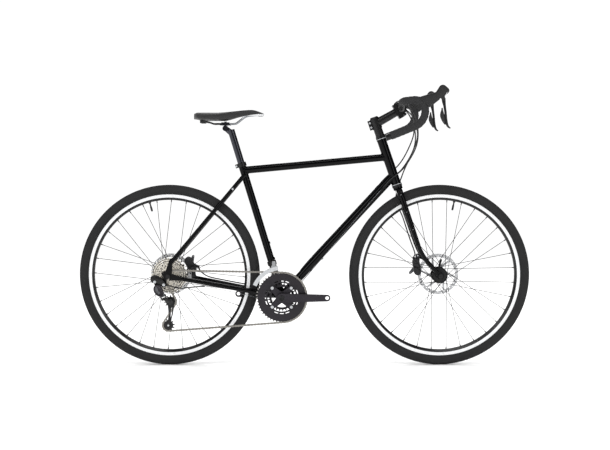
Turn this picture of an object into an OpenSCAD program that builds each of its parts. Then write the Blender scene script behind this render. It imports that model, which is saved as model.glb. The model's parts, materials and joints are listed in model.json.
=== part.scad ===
// Touring road bicycle: steel frame, drop bars, disc brakes, triple chainset, two-wheel spoke lacing.
// +X is forward, +Y is the rider's left, +Z is up. The origin is on the ground, midway between the axles.

/* [Wheels] */
// Distance between the two axles
wheelbase = 1052; // [1000:1:1110]
// Radius of the inflated tyre
tyre_r = 352; // [345:1:360]
// Width of the inflated tyre
tyre_w = 41; // [32:1:42]
// Radius of the rim's bead seat
bead_r = 311; // [305:1:313]
// Outside width of the rim
rim_w = 25; // [22:0.5:28]
// Depth of the rim below the bead seat
rim_depth = 18; // [14:1:22]
// Number of spokes in each wheel
spoke_count = 32; // [24:8:40]
// Diameter of a spoke
spoke_d = 2; // [1.6:0.1:2.3]
// Distance between the front dropouts
front_oln = 100; // [100:1:104]
// Distance between the rear dropouts
rear_oln = 135; // [135:1:142]
// Diameter of the brake rotors
rotor_d = 160; // [140:20:180]

/* [Frame] */
// Length of the chain stays, from the crank axis to the rear axle
chainstay = 446; // [440:1:465]
// How far the crank axis lies below the axles
bb_drop = 82.5; // [65:0.5:90]
// Angle of the seat tube
seat_angle = 73; // [70:0.5:75]
// Length of the seat tube, from the crank axis to its top
seat_tube_len = 544; // [500:1:600]
// Angle of the head tube
head_angle = 71; // [69:0.5:73]
// Length of the head tube
head_tube_len = 185; // [150:1:230]
// Diameter of the seat tube and the top tube
slim_tube_d = 28.6; // [28:0.1:30]
// Diameter of the down tube
down_tube_d = 31.8; // [28.6:0.1:35]
// Diameter of the head tube
head_tube_d = 36.4; // [36:0.1:38]
// Diameter of the seat post
post_d = 27.2; // [25.4:0.1:27.2]
// How far the seat post stands out of the seat tube
post_out = 135; // [100:1:170]

/* [Fork and cockpit] */
// Offset of the front axle from the steering axis
fork_rake = 43; // [38:1:52]
// Height of the fork along the steering axis
fork_height = 376; // [370:1:395]
// Length of the stem, between the two clamp axes
stem_len = 110; // [80:1:120]
// Rise of the stem above the square to the steering axis
stem_rise = 10.6; // [0:0.1:17]
// Distance between the brake hoods
bar_w = 430; // [400:1:460]
// Diameter of the handlebar where the stem holds it
bar_clamp_d = 31.8; // [31.8:0.1:35]
// Diameter of the handlebar under the tape
bar_d = 23.8; // [22.2:0.1:24.2]
// Thickness of the handlebar tape
tape_t = 3; // [2:0.1:4]

/* [Drivetrain] */
// Length of the crank arms
crank_len = 175; // [165:2.5:180]
// Teeth of the outer chainring
ring_teeth = 48; // [44:1:50]
// Pitch of the chain
pitch = 12.7; // [12.7:0.1:12.7]
// Number of chain links
links = 116; // [112:2:118]
// Distance of the chain from the middle of the frame
chain_y = 58; // [57:0.5:60]
// Distance between the two jockey wheels
cage_len = 93; // [85:1:98]

/* [Hidden] */
$fn = 48;
run = 0.05;       // radial running clearance of a pin in its bore
gap = 0.3;        // clearance between pieces that pass each other
weld = 0.1;       // gap that a weld fills between two tubes

// Main points of the frame
rear = [-wheelbase / 2, 0, tyre_r];
front = [wheelbase / 2, 0, tyre_r];
bb = rear + [sqrt(chainstay * chainstay - bb_drop * bb_drop), 0, -bb_drop];
head_up = [-cos(head_angle), 0, sin(head_angle)];
head_fwd = [sin(head_angle), 0, cos(head_angle)];
seat_up = [-cos(seat_angle), 0, sin(seat_angle)];
steer0 = front - fork_rake * head_fwd;
function on_steer(s) = steer0 + s * head_up;
function on_seat(s) = bb + s * seat_up;

// Stations along the steering axis, up from the axle
crown_top = fork_height;
head_low = crown_top + 14;
head_high = head_low + head_tube_len;
spacer_low = head_high + 15;
stem_low = spacer_low + 27;
stem_clamp_h = 42;
stem_high = stem_low + stem_clamp_h;
steerer_r = 14.3;

// Where the tubes meet, from their own ends
tt_seat = seat_tube_len - 31;
tt_head = head_high - 74;
dt_head = head_low + 35;
stays_seat = seat_tube_len - 49;
post_top = seat_tube_len + post_out;
shell_r = 20;
shell_half = 34;
spindle_r = 12;

// Handlebar
stem_dir = [cos(90 - head_angle + stem_rise), 0, sin(90 - head_angle + stem_rise)];
bar = on_steer((stem_low + stem_high) / 2) + stem_len * stem_dir;
bar_r = bar_d / 2;
tape_r = bar_r + tape_t;
bar_rise = 24;
drop_y = bar_w / 2;

// Brake hood, lever and paddle, as places in the plane of the drops
lever_pin = bar + [143, 0, 30];
paddle_pin = lever_pin + [-1, 0, -36];

// Wheels
axle_r = [4.5, 5];
tread_c = tyre_r - tyre_w / 2;
casing = 2.6;
flange_h = 6;
rim_in = bead_r - rim_depth;
nipple_r = rim_in + 2;
rotor_t = 1.8;

// Drivetrain
cogs = [11, 13, 15, 17, 20, 23, 26, 30, 34];
cog_step = 4.34;
tooth_t = 1.8;
roller_r = 3.88;
ring_steps = [48, 36, 26];
ring_gap = 7.6;
jockey_teeth = 11;
guide = rear + [8, 0, -98];
function pitch_r(n) = pitch / (2 * sin(180 / n));

// Outline helpers

function unit(v) = v / norm(v);
function arc(c, r, a0, a1, n = 10) = [for (i = [0 : n]) let(a = a0 + (a1 - a0) * i / n) c + r * [cos(a), sin(a)]];
// Two circles with their common tangents
function capsule(p, q, r1, r2, n = 10) = let(
    d = q - p,
    a = atan2(d[1], d[0]),
    b = acos((r1 - r2) / norm(d))
) concat(arc(q, r2, a - b, a + b, n), arc(p, r1, a + b, a + 360 - b, n));
function xz(p) = [p[0], p[2]];

// Solid helpers

module rod(p, q, r1, r2 = undef) {
    d = q - p;
    translate(p) rotate([0, acos(d[2] / norm(d)), atan2(d[1], d[0])])
        cylinder(h = norm(d), r1 = r1, r2 = is_undef(r2) ? r1 : r2);
}

// A cylinder along Y through the point p
module pin_y(p, y0, y1, r) {
    translate([p[0], y0, p[2]]) rotate([-90, 0, 0]) cylinder(h = y1 - y0, r = r);
}

// A flat shape drawn in X and Z, from y0 to y1
module plate(y0, y1) {
    translate([0, y1, 0]) rotate([90, 0, 0]) linear_extrude(y1 - y0) children();
}

// A solid of revolution about the line along Y through p, drawn as radius and Y
module turned_y(p) {
    translate(p) rotate([-90, 0, 0]) rotate_extrude($fn = 96) children();
}

module steer_frame() translate(steer0) rotate([0, head_angle - 90, 0]) children();
module seat_frame() translate(bb) rotate([0, seat_angle - 90, 0]) children();
module both_sides() {
    children();
    mirror([0, 1, 0]) children();
}
module ring_z(z0, z1, r, bore) {
    translate([0, 0, z0]) difference() {
        cylinder(h = z1 - z0, r = r);
        translate([0, 0, -1]) cylinder(h = z1 - z0 + 2, r = bore);
    }
}

// A round tube along straight and bent stretches, each [length, 0, 0] or [radius, angle, roll]
module bent_tube(path, r, bore, i = 0) {
    if (i < len(path)) {
        s = path[i];
        rotate([0, 0, s[2]]) {
            if (s[1] == 0) {
                linear_extrude(s[0]) tube_section(r, bore);
                translate([0, 0, s[0]]) rotate([0, 0, -s[2]]) bent_tube(path, r, bore, i + 1);
            } else {
                translate([s[0], 0, 0]) rotate([90, 0, 180]) rotate_extrude(angle = s[1])
                    translate([s[0], 0]) tube_section(r, bore);
                translate([s[0], 0, 0]) rotate([0, s[1], 0]) translate([-s[0], 0, 0])
                    rotate([0, 0, -s[2]]) bent_tube(path, r, bore, i + 1);
            }
        }
    }
}
module tube_section(r, bore) {
    difference() {
        circle(r);
        if (bore > 0) circle(bore);
    }
}

// A smooth curve through hand-set points, and a tube swept along it
function spline(p, k) = [
    for (i = [0 : len(p) - 2], j = [0 : k - 1]) let(
        t = j / k,
        a = p[max(i - 1, 0)], b = p[i], c = p[i + 1], d = p[min(i + 2, len(p) - 1)]
    ) (2 * b + (c - a) * t + (2 * a - 5 * b + 4 * c - d) * t * t + (3 * b - a - 3 * c + d) * t * t * t) / 2,
    p[len(p) - 1]
];
function headings(p) = [for (i = [0 : len(p) - 1]) unit(p[min(i + 1, len(p) - 1)] - p[max(i - 1, 0)])];
function normals(t, u, i = 0) = i == len(t) ? [] : let(n = unit(u - (u * t[i]) * t[i]))
    concat([n], normals(t, n, i + 1));
function sections(p, r, sides, start) = let(t = headings(p), u = normals(t, start))
    [for (i = [0 : len(p) - 1], j = [0 : sides - 1]) let(a = 360 * j / sides)
        p[i] + r * (cos(a) * u[i] + sin(a) * cross(t[i], u[i]))];
function skin(n, sides, from = 0) = [for (i = [0 : n - 2], j = [0 : sides - 1]) let(
    a = from + i * sides + j, b = from + i * sides + (j + 1) % sides
) each [[a, a + sides, b], [b, a + sides, b + sides]]];
module swept(points, r, sides = 8, k = 2) {
    p = spline(points, k);
    last = (len(p) - 1) * sides;
    ends = [for (j = [1 : sides - 2]) each [[0, j, j + 1], [last, last + j + 1, last + j]]];
    polyhedron(sections(p, r, sides, [0, 1, 0]), concat(skin(len(p), sides), ends));
}
// The same as a tube with an open bore
module swept_tube(p, r, bore, sides) {
    n = len(p);
    inner = n * sides;
    last = (n - 1) * sides;
    inside = [for (f = skin(n, sides, inner)) [f[0], f[2], f[1]]];
    ends = [for (j = [0 : sides - 1]) let(b = (j + 1) % sides) each [
        [j, b, inner + j], [b, inner + b, inner + j],
        [last + j, inner + last + j, last + b], [last + b, inner + last + j, inner + last + b]
    ]];
    polyhedron(concat(sections(p, r, sides, [0, 0, 1]), sections(p, bore, sides, [0, 0, 1])),
        concat(skin(n, sides), inside, ends));
}

// Frame tubes

st_r = slim_tube_d / 2;
dt_r = down_tube_d / 2;
ht_r = head_tube_d / 2;
wall = 1.2;
stay_r = [10, 8.2];
seat_stay_r = 8;
drop_in = rear_oln / 2;
drop_t = 6;
drop_mid = drop_in + drop_t / 2;
cs_rear = [rear[0] + 46, drop_mid, rear[2] - 8];
ss_low = [rear[0] + 9, drop_mid, rear[2] + 50];
cs_front = [bb[0], 24, bb[2]];
ss_high = on_seat(stays_seat) + [0, 17, 0];

module shell_cut() {
    pin_y(bb, -shell_half - 10, shell_half + 10, shell_r + weld);
    both_sides() pin_y(bb, shell_half, shell_half + 20, cup_rim_r + weld);
}
module seat_cut() seat_frame() cylinder(h = seat_tube_len + 40, r = st_r + weld);
module head_cut() steer_frame() translate([0, 0, head_low - 40]) cylinder(h = head_tube_len + 80, r = ht_r + weld);
module dt_cut(extra = weld) rod(bb, on_steer(dt_head), dt_r + extra);
module tt_cut(extra = weld) rod(on_seat(tt_seat), on_steer(tt_head), st_r + extra);

module head_tube() {
    color("black") steer_frame() difference() {
        union() {
            translate([0, 0, head_low]) cylinder(h = head_tube_len, r = ht_r);
            for (z = [head_low, head_high - collar_h]) translate([0, 0, z]) cylinder(h = collar_h, r = ht_r + 0.9);
        }
        translate([0, 0, head_low - 1]) cylinder(h = head_tube_len + 2, r = cup_r);
    }
}
cup_r = 17;
cup_rim_r = 22;
collar_h = 6;

module top_tube() {
    color("black") difference() {
        rod(on_seat(tt_seat), on_steer(tt_head), st_r);
        rod(on_seat(tt_seat), on_steer(tt_head), st_r - wall);
        seat_cut();
        head_cut();
    }
}

module down_tube() {
    color("black") difference() {
        rod(bb, on_steer(dt_head), dt_r);
        rod(bb, on_steer(dt_head), dt_r - wall);
        shell_cut();
        head_cut();
        for (s = bottle_dt) rod(bb + s * dt_dir, bb + s * dt_dir + down_tube_d * dt_up, eye_r);
        for (s = bottle_low) rod(bb + s * dt_dir, bb + s * dt_dir - down_tube_d * dt_up, eye_r);
    }
}

module seat_tube() {
    color("black") difference() {
        seat_frame() ring_z(0, seat_tube_len, st_r, post_d / 2 + run);
        shell_cut();
        dt_cut();
        seat_frame() translate([-30, -1, seat_tube_len - 22]) cube([30, 2, 30]);
        for (s = bottle_st) rod(on_seat(s), on_seat(s) + slim_tube_d * seat_fwd, eye_r);
    }
}

// The shell with its two bearing cups
module bottom_bracket() {
    color("black") difference() {
        pin_y(bb, -shell_half, shell_half, shell_r);
        pin_y(bb, -shell_half - 1, shell_half + 1, cup_r);
    }
    color("dimgray") both_sides() turned_y(bb) difference() {
        union() {
            translate([0, shell_half + run]) square([cup_rim_r, 10]);
            translate([0, shell_half - 12]) square([cup_r - run, 13]);
        }
        translate([-1, 0]) square([1 + spindle_r + run, 60]);
    }
}

module stay(p, q, r1, r2) {
    difference() {
        rod(p, q, r1, r2);
        rod(p, q, r1 - wall, r2 - wall);
    }
}
module rear_stays() {
    color("black") both_sides() {
        difference() {
            stay(cs_front, cs_rear, stay_r[0], stay_r[1]);
            shell_cut();
            dropout_slot();
        }
        difference() {
            stay(ss_low, ss_high, seat_stay_r, seat_stay_r);
            seat_cut();
            dropout_slot();
            rod(rack_p, rack_p + [0, 3 * seat_stay_r, 0], eye_r);
        }
    }
}
// The dropout's two arms: where each stay ends, and how far the arm reaches into it
arms = [[ss_low, [3, 14]], [cs_rear, [16, -3]]];
arm_tip = 6;
module dropout_arms() for (a = arms) polygon(capsule(xz(rear), xz(a[0]) + a[1], 15, arm_tip));
// Slots through the ends of the stays, taller than the tubes
slot_r = stay_r[1] + 4;
module dropout_slot() plate(drop_in - weld, drop_in + drop_t + weld)
    for (a = arms) polygon(capsule(xz(a[0]) - a[1], xz(a[0]) + 0.7 * a[1], slot_r, slot_r));

hanger = rear + [-15, 0, -31];
rack_eye = rear + [-19, 0, 13];
eye_r = 2.5;
module dropout(with_hanger) {
    difference() {
        plate(drop_in, drop_in + drop_t) difference() {
            union() {
                dropout_arms();
                polygon(capsule(xz(rear), xz(rack_eye), 15, 6.5));
                if (with_hanger) polygon(capsule(xz(rear), xz(hanger), 14, 9));
            }
            translate(xz(rear)) {
                circle(axle_r[1] + 0.1);
                translate([-axle_r[1] - 0.1, -40]) square([2 * axle_r[1] + 0.2, 40]);
            }
            translate(xz(rack_eye)) circle(eye_r);
            if (with_hanger) translate(xz(hanger)) circle(hanger_r + run);
        }
    }
}
hanger_r = 5;

// A threaded boss standing on a tube: p on the tube's axis, d outward
module boss(p, d, reach, tube_r, r = 5) {
    difference() {
        rod(p, p + (tube_r + reach) * d, r);
        rod(p, p + (tube_r + reach + 1) * d, eye_r);
        children();
    }
}

dt_dir = unit(on_steer(dt_head) - bb);
dt_up = [-dt_dir[2], 0, dt_dir[0]];
seat_fwd = [sin(seat_angle), 0, cos(seat_angle)];
bottle_dt = [190, 254];
bottle_st = [150, 214];
bottle_low = [150, 214];
boss_h = 2.4;
// Where the cable stops stand on the down tube
stop_s = norm(on_steer(dt_head) - bb) - 70;

module frame_fittings() {
    color("black") {
        dropout(false);
        mirror([0, 1, 0]) dropout(true);
        for (s = bottle_dt) boss(bb + s * dt_dir, dt_up, boss_h, dt_r) dt_cut();
        for (s = bottle_low) boss(bb + s * dt_dir, -dt_up, boss_h, dt_r) dt_cut();
        for (s = bottle_st) boss(on_seat(s), seat_fwd, boss_h, st_r) seat_cut();
        bridges();
        rack_bosses();
        cable_stops();
    }
}

// Short tubes between the stays, fore and aft of the tyre
bridge_low = 62;
bridge_high = 0.87;
module bridges() {
    cs = unit(cs_rear - cs_front);
    low = cs_front + bridge_low * cs;
    high = ss_low + bridge_high * (ss_high - ss_low);
    difference() {
        pin_y(low, -low[1], low[1], 6);
        both_sides() rod(cs_front, cs_rear, stay_r[0] + weld, stay_r[1] + weld);
    }
    difference() {
        pin_y(high, -high[1], high[1], 6);
        both_sides() rod(ss_low, ss_high, seat_stay_r + weld);
    }
}

// Threaded bosses on the outer sides of the seat stays
rack_at = 0.84;
rack_p = ss_low + rack_at * (ss_high - ss_low);
module rack_bosses() {
    both_sides() boss(rack_p, [0, 1, 0], boss_h, seat_stay_r) rod(ss_low, ss_high, seat_stay_r + weld);
}

// Stops where the shift housings end, on the two sides of the down tube, and guides below the shell
module cable_stops() {
    q = bb + stop_s * dt_dir + [0, dt_r + stop_out, 0];
    both_sides() difference() {
        rod(q - 7 * dt_dir, q + 7 * dt_dir, 4.6);
        rod(q - 4 * dt_dir, q + 9 * dt_dir, housing_r + gap);
        rod(q - 9 * dt_dir, q, wire_r + gap);
        dt_cut();
    }
    difference() {
        translate(bb + [-16, -17, -shell_r - 4]) cube([26, 34, 12]);
        shell_cut();
        for (y = [-8, 8]) rod(bb + [-40, y, guide_z], bb + [40, y, guide_z], wire_r + gap);
    }
}
stop_out = 3.6;
housing_r = 2.5;
wire_r = 0.8;
guide_z = -shell_r - 2;

module seat_clamp() {
    color("dimgray") difference() {
        seat_frame() difference() {
            union() {
                ring_z(seat_tube_len - 16, seat_tube_len - 1, st_r + 4, st_r + run);
                translate([-st_r - 11, -7, seat_tube_len - 16]) cube([9, 14, 15]);
            }
            translate([-st_r - 20, -1, seat_tube_len - 20]) cube([20, 2, 30]);
            translate([-st_r - 7, -10, seat_tube_len - 8.5]) rotate([-90, 0, 0]) cylinder(h = 20, r = 2.5 + run);
        }
        tt_cut();
    }
    color("silver") seat_frame() translate([-st_r - 7, -9, seat_tube_len - 8.5]) rotate([-90, 0, 0]) {
        cylinder(h = 17, r = 2.5);
        translate([0, 0, -2]) cylinder(h = 4 - run, r = 4);
    }
}

module headset() {
    color("dimgray") steer_frame() difference() {
        union() {
            translate([0, 0, crown_top + 2]) cylinder(h = head_low - crown_top - 2 - run, r = ht_r + 1.8);
            translate([0, 0, crown_top + 4]) cylinder(h = 20, r = cup_r - run);
            translate([0, 0, head_high + run]) cylinder(h = 12, r1 = ht_r + 1.8, r2 = ht_r + 0.4);
            translate([0, 0, head_high - 10]) cylinder(h = 12, r = cup_r - run);
        }
        translate([0, 0, crown_top]) cylinder(h = head_tube_len + 80, r = steerer_r + run);
    }
}

// Seat

clamp = on_seat(post_top) + [-20.5, 0, 9];
rail_z = clamp[2] + 12;
rail_r = 3.5;
rail_y = 22;
function step(a, b, x) = let(t = max(0, min(1, (x - a) / (b - a)))) t * t * (3 - 2 * t);

module seatpost() {
    color("black") difference() {
        union() {
            seat_frame() translate([0, 0, seat_tube_len - 140]) cylinder(h = post_out + 138, r = post_d / 2);
            rod(on_seat(post_top - 16), clamp + [0, 0, -5], 12.5, 10);
            pin_y(clamp + [0, 0, -5], -19, 19, 11);
        }
        seat_frame() translate([0, 0, seat_tube_len - 141]) cylinder(h = post_out + 115, r = post_d / 2 - 2.2);
    }
}

module saddle_clamp() {
    color("dimgray") difference() {
        union() {
            translate([clamp[0] - 19, -29, clamp[2] + 6 + run]) cube([38, 58, rail_z - clamp[2] - 6.3]);
            translate([clamp[0] - 15, -29, rail_z + 0.3]) cube([30, 58, 5.5]);
        }
        both_sides() rod([clamp[0] - 40, rail_y, rail_z], [clamp[0] + 40, rail_y, rail_z], rail_r + 0.2);
        translate([clamp[0], 0, clamp[2]]) cylinder(h = 40, r = 3.2);
    }
    color("silver") translate([clamp[0], 0, clamp[2] + 6.5]) {
        cylinder(h = rail_z - clamp[2] + 2, r = 3);
        translate([0, 0, rail_z - clamp[2] - 0.6]) cylinder(h = 4, r = 5);
    }
}

// Places of one rail from its rear end to the nose, measured from the clamp
rail_path = [
    [-82, 33, 9], [-62, 28, 6], [-46, rail_y, 0.4], [-34, rail_y, 0], [0, rail_y, 0], [34, rail_y, 0],
    [46, rail_y - 1, 4], [66, 17, 20], [84, 12, 30], [112, 9, 32.8], [140, 7, 32.8]
];
module saddle_rails() {
    base = [clamp[0], 0, rail_z];
    color("silver") both_sides() swept([for (p = rail_path) base + p], rail_r, 8, 2);
    color("black") {
        both_sides() translate(base + [-96, 24, 2.6]) cube([18, 18, 10.5]);
        translate(base + [128, -13, 28.6]) cube([16, 26, 8]);
    }
}

// The cushion: half width, top and underside along its length, from the tail at 0 to the nose at 1
saddle_len = 272;
saddle_w = 146;
saddle_sides = 26;
saddle_rows = 26;
function tip(t) = sqrt(max(0.02, 1 - pow(max(0, 0.11 - t) / 0.11, 2)))
    * sqrt(max(0.02, 1 - pow(max(0, t - 0.92) / 0.08, 2)));
function half_w(t) = tip(t) * (18.5 + (saddle_w / 2 - 18.5) * (1 - step(0.13, 0.66, t)) + 4 * step(0.8, 0.93, t));
function crown(t) = 44 + 13 * step(0.3, 0.8, t) - 15 * step(0.84, 1, t) - 9 * (1 - step(0, 0.14, t));
function belly(t) = 14 - 1.5 * step(0, 0.35, t) + 26 * step(0.42, 0.78, t) - 1.5 * step(0.8, 1, t)
    + 3 * (1 - step(0, 0.12, t));
function power(v, e) = sign(v) * pow(abs(v), e);
function channel(t, y) = 4.5 * step(0.08, 0.22, t) * (1 - step(0.72, 0.86, t)) * exp(-y * y / 60);
function saddle_point(t, a) = let(
    low = belly(t),
    high = crown(t),
    edge = low + 0.4 * (high - low),
    y = half_w(t) * power(cos(a), 0.75),
    up = sin(a) > 0 ? (high - edge) * power(sin(a), 0.8) - channel(t, y) : (edge - low) * power(sin(a), 0.5)
) [clamp[0] - 122 + saddle_len * t, y, rail_z + edge + up];
module saddle() {
    n = saddle_sides;
    rows = [for (i = [0 : saddle_rows]) (1 - cos(180 * i / saddle_rows)) / 2];
    points = [for (t = rows, j = [0 : n - 1]) saddle_point(t, 360 * j / n + 180 / n)];
    last = saddle_rows * n;
    walls = [for (i = [0 : saddle_rows - 1], j = [0 : n - 1]) let(a = i * n + j, b = i * n + (j + 1) % n)
        each [[a, b, a + n], [b, b + n, a + n]]];
    caps = [for (j = [1 : n - 2]) each [[0, j + 1, j], [last, last + j, last + j + 1]]];
    color("dimgray") polyhedron(points, concat(walls, caps));
}

// Fork and cockpit

blade_bend = 220;
blade_turn = 24;
blade_tail = (fork_rake - blade_bend * (1 - cos(blade_turn))) / sin(blade_turn);
blade_s = blade_bend * sin(blade_turn) + blade_tail * cos(blade_turn);
blade_y = [36, front_oln / 2 + 3];
blade_r = [12.3, 8.3];
blade_end = 24;
// A point on the fork blade's axis, s along the steering axis
function blade_at(s) = let(f = (crown_top - 12 - s) / (crown_top - 12 - blade_s))
    on_steer(s) + [0, blade_y[0] + f * (blade_y[1] - blade_y[0]), 0];
fork_bosses = [blade_s + 62, blade_s + 134, blade_s + 204];

module fork() {
    tail = front + blade_end * (cos(blade_turn) * head_up - sin(blade_turn) * head_fwd);
    color("black") {
        steer_frame() {
            ring_z(crown_top - 10, stem_high - 3, steerer_r, steerer_r - 2.5);
            ring_z(crown_top - 8, crown_top + 1.6, ht_r, steerer_r - 2.5);
            translate([-12, 0, 0]) rotate([90, 0, 90]) linear_extrude(24) fork_crown();
        }
        both_sides() difference() {
            union() {
                rod(blade_at(crown_top - 14), blade_at(blade_s - 1), blade_r[0], blade_r[1] + 0.5);
                translate(blade_at(blade_s)) sphere(blade_r[1] + 0.9);
                translate(blade_at(blade_s)) rotate([180, head_angle - 90, 0])
                    bent_tube([[blade_bend, blade_turn, 0], [blade_tail - blade_end + 6, 0, 0]], blade_r[1], 0);
                plate(front_oln / 2, front_oln / 2 + 6) polygon(capsule(xz(front), xz(tail), 14, 9));
                for (s = fork_bosses) rod(blade_at(s), blade_at(s) + [0, 13.5, 0], 5);
            }
            plate(front_oln / 2 - 9, front_oln / 2 + 16) translate(xz(front)) {
                circle(axle_r[0] + 0.1);
                translate([-axle_r[0] - 0.1, -30]) square([2 * axle_r[0] + 0.2, 30]);
            }
            for (s = fork_bosses) rod(blade_at(s), blade_at(s) + [0, 20, 0], eye_r);
        }
        brake_tab();
    }
}
module fork_crown() {
    w = blade_y[0] + 9;
    c = crown_top;
    polygon([
        [-w, c - 26], [-w, c - 15], [-21, c - 3], [21, c - 3],
        [w, c - 15], [w, c - 26], [21, c - 19], [-21, c - 19]
    ]);
}
// The tab behind the left blade that the front caliper's bracket is bolted to
tab_y = front_oln / 2 - 3;
tab_root = xz(front) + [-62, 66];
tab_bolt = front + [-80, 0, 72];
module brake_tab() {
    plate(tab_y, tab_y + 6) difference() {
        polygon(capsule(tab_root, xz(tab_bolt), 9, 8));
        translate(xz(tab_bolt)) circle(3.2);
    }
}

module headset_spacers() {
    color("dimgray") steer_frame() {
        ring_z(head_high + 12 + 2 * run, spacer_low - run, ht_r - 0.4, steerer_r + run);
        for (i = [0 : 2]) ring_z(spacer_low + 9 * i, spacer_low + 9 * i + 8.9, ht_r - 1.2, steerer_r + run);
        difference() {
            translate([0, 0, stem_high + run]) cylinder(h = 6, r1 = ht_r - 1.2, r2 = ht_r - 4);
            translate([0, 0, stem_high - 1]) cylinder(h = 9, r = 3.05);
        }
    }
    color("silver") steer_frame() translate([0, 0, stem_high - 24]) cylinder(h = 29, r = 3);
}

module stem_frame() translate(bar) rotate([0, head_angle - 90 - stem_rise, 0]) children();
face_w = 46;
face_bolts = [[24, 15], [24, -15], [-24, 15], [-24, -15]];
module face_holes() for (b = face_bolts) translate([-20, b[1], b[0]]) rotate([0, 90, 0]) cylinder(h = 40, r = 2.6);
module stem() {
    color("black") difference() {
        union() {
            steer_frame() translate([0, 0, stem_low]) cylinder(h = stem_clamp_h, r = 19);
            stem_frame() {
                translate([-stem_len, 0, 0]) rotate([0, 90, 0]) cylinder(h = stem_len - 12, r1 = 17.5, r2 = 15.5);
                translate([-22, -face_w / 2, -30]) cube([20, face_w, 60]);
            }
            steer_frame() translate([-29, -9, stem_low + 2]) cube([14, 18, stem_clamp_h - 4]);
        }
        steer_frame() translate([0, 0, stem_low - 1]) cylinder(h = stem_clamp_h + 2, r = steerer_r + run);
        steer_frame() translate([-40, -1, stem_low - 1]) cube([40, 2, stem_clamp_h + 2]);
        steer_frame() for (z = [12, 30]) translate([-23, -20, stem_low + z])
            rotate([-90, 0, 0]) cylinder(h = 40, r = 2.6);
        pin_y(bar, -40, 40, bar_clamp_d / 2 + run);
        stem_frame() face_holes();
    }
    color("black") difference() {
        stem_frame() {
            rotate([90, 0, 0]) translate([0, 0, -face_w / 2]) cylinder(h = face_w, r = bar_clamp_d / 2 + 5);
            translate([0, -face_w / 2, -29]) cube([8, face_w, 58]);
        }
        stem_frame() translate([-60, -40, -40]) cube([60, 80, 80]);
        pin_y(bar, -40, 40, bar_clamp_d / 2 + run);
        stem_frame() face_holes();
    }
    color("silver") {
        stem_frame() for (b = face_bolts) translate([-16, b[1], b[0]]) rotate([0, 90, 0]) {
            cylinder(h = 26, r = 2.5);
            translate([0, 0, 24.1]) cylinder(h = 4, r = 4);
        }
        steer_frame() for (z = [12, 30]) translate([-23, -10, stem_low + z]) rotate([-90, 0, 0]) {
            cylinder(h = 19, r = 2.5);
            translate([0, 0, -3.1]) cylinder(h = 4, r = 4);
        }
    }
}

// One half of the bar from the middle outward: rise, tops, forward bend, hook and drop
rise_bend = 24;
rise_turn = 42;
rise_len = (bar_rise - 2 * rise_bend * (1 - cos(rise_turn))) / sin(rise_turn);
reach_bend = 36;
bulge = 36;
tops_from = bulge + 2 * rise_bend * sin(rise_turn) + rise_len * cos(rise_turn);
tops_len = drop_y - reach_bend - tops_from;
rise_path = [[bulge, 0, 0], [rise_bend, rise_turn, 180], [rise_len, 0, 0], [rise_bend, rise_turn, 0]];
ramp_roll = -95;
hook_roll = ramp_roll + 90;
hook_r = [36, 62];
hook_path = [[reach_bend, 90, ramp_roll], [hook_r[0], 85, hook_roll], [hook_r[1], 78, hook_roll]];
drop_len = 112;
tape_gap = 14;

// Points along a path of straight and bent stretches, from p with heading t and side x
bend_step = 15;
function trace(path, p, t, x, i = 0) = i == len(path) ? [p] : let(
    s = path[i],
    side = cos(s[2]) * x + sin(s[2]) * cross(t, x),
    n = ceil(s[1] / bend_step)
) s[1] == 0 ? concat([p], trace(path, p + s[0] * t, t, x, i + 1)) : let(
    out = cos(s[1]) * t + sin(s[1]) * side,
    turned = cos(s[1]) * side - sin(s[1]) * t
) concat(
    [for (k = [0 : n - 1]) let(a = s[1] * k / n) p + s[0] * ((1 - cos(a)) * side + sin(a) * t)],
    trace(path, p + s[0] * ((1 - cos(s[1])) * side + sin(s[1]) * t), out,
        cos(s[2]) * turned - sin(s[2]) * cross(out, turned), i + 1)
);
bar_path = concat(rise_path, [[tape_gap, 0, 0], [tops_len - tape_gap, 0, 0]], hook_path, [[drop_len, 0, 0]]);
bar_line = trace(bar_path, bar, [0, 1, 0], [0, 0, -1]);
// The tape covers the line from its point after the rise
taped_path = concat([[1, 0, 0]], hook_path, [[drop_len, 0, 0]]);
tape_from = len(bar_line) - len(trace(taped_path, bar, [0, 1, 0], [0, 0, -1]));
tape_line = [for (i = [tape_from : len(bar_line) - 1]) bar_line[i]];
bar_sides = 12;
bar_bore = bar_r - 2.4;
function flipped(v) = [v[0], -v[1], v[2]];
module handlebar() {
    n = len(bar_line);
    whole = concat([for (i = [1 : n - 1]) flipped(bar_line[n - i])], bar_line);
    color("black") {
        swept_tube(whole, bar_r, bar_bore, bar_sides);
        difference() {
            pin_y(bar, -bulge + 4, bulge - 4, bar_clamp_d / 2);
            pin_y(bar, -bulge, bulge, bar_r + run);
        }
    }
}
module bar_tape() {
    last = bar_line[len(bar_line) - 1];
    out = unit(last - bar_line[len(bar_line) - 2]);
    color("dimgray") both_sides() swept_tube(tape_line, tape_r, bar_r / cos(180 / bar_sides) + run, bar_sides);
    color("black") both_sides() {
        rod(last + 0.1 * out, last + 4 * out, tape_r - 0.5);
        rod(last - 14 * out, last + out, bar_bore * cos(180 / bar_sides) - run);
    }
}

// Brake hoods and levers, in the plane of each drop

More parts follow.
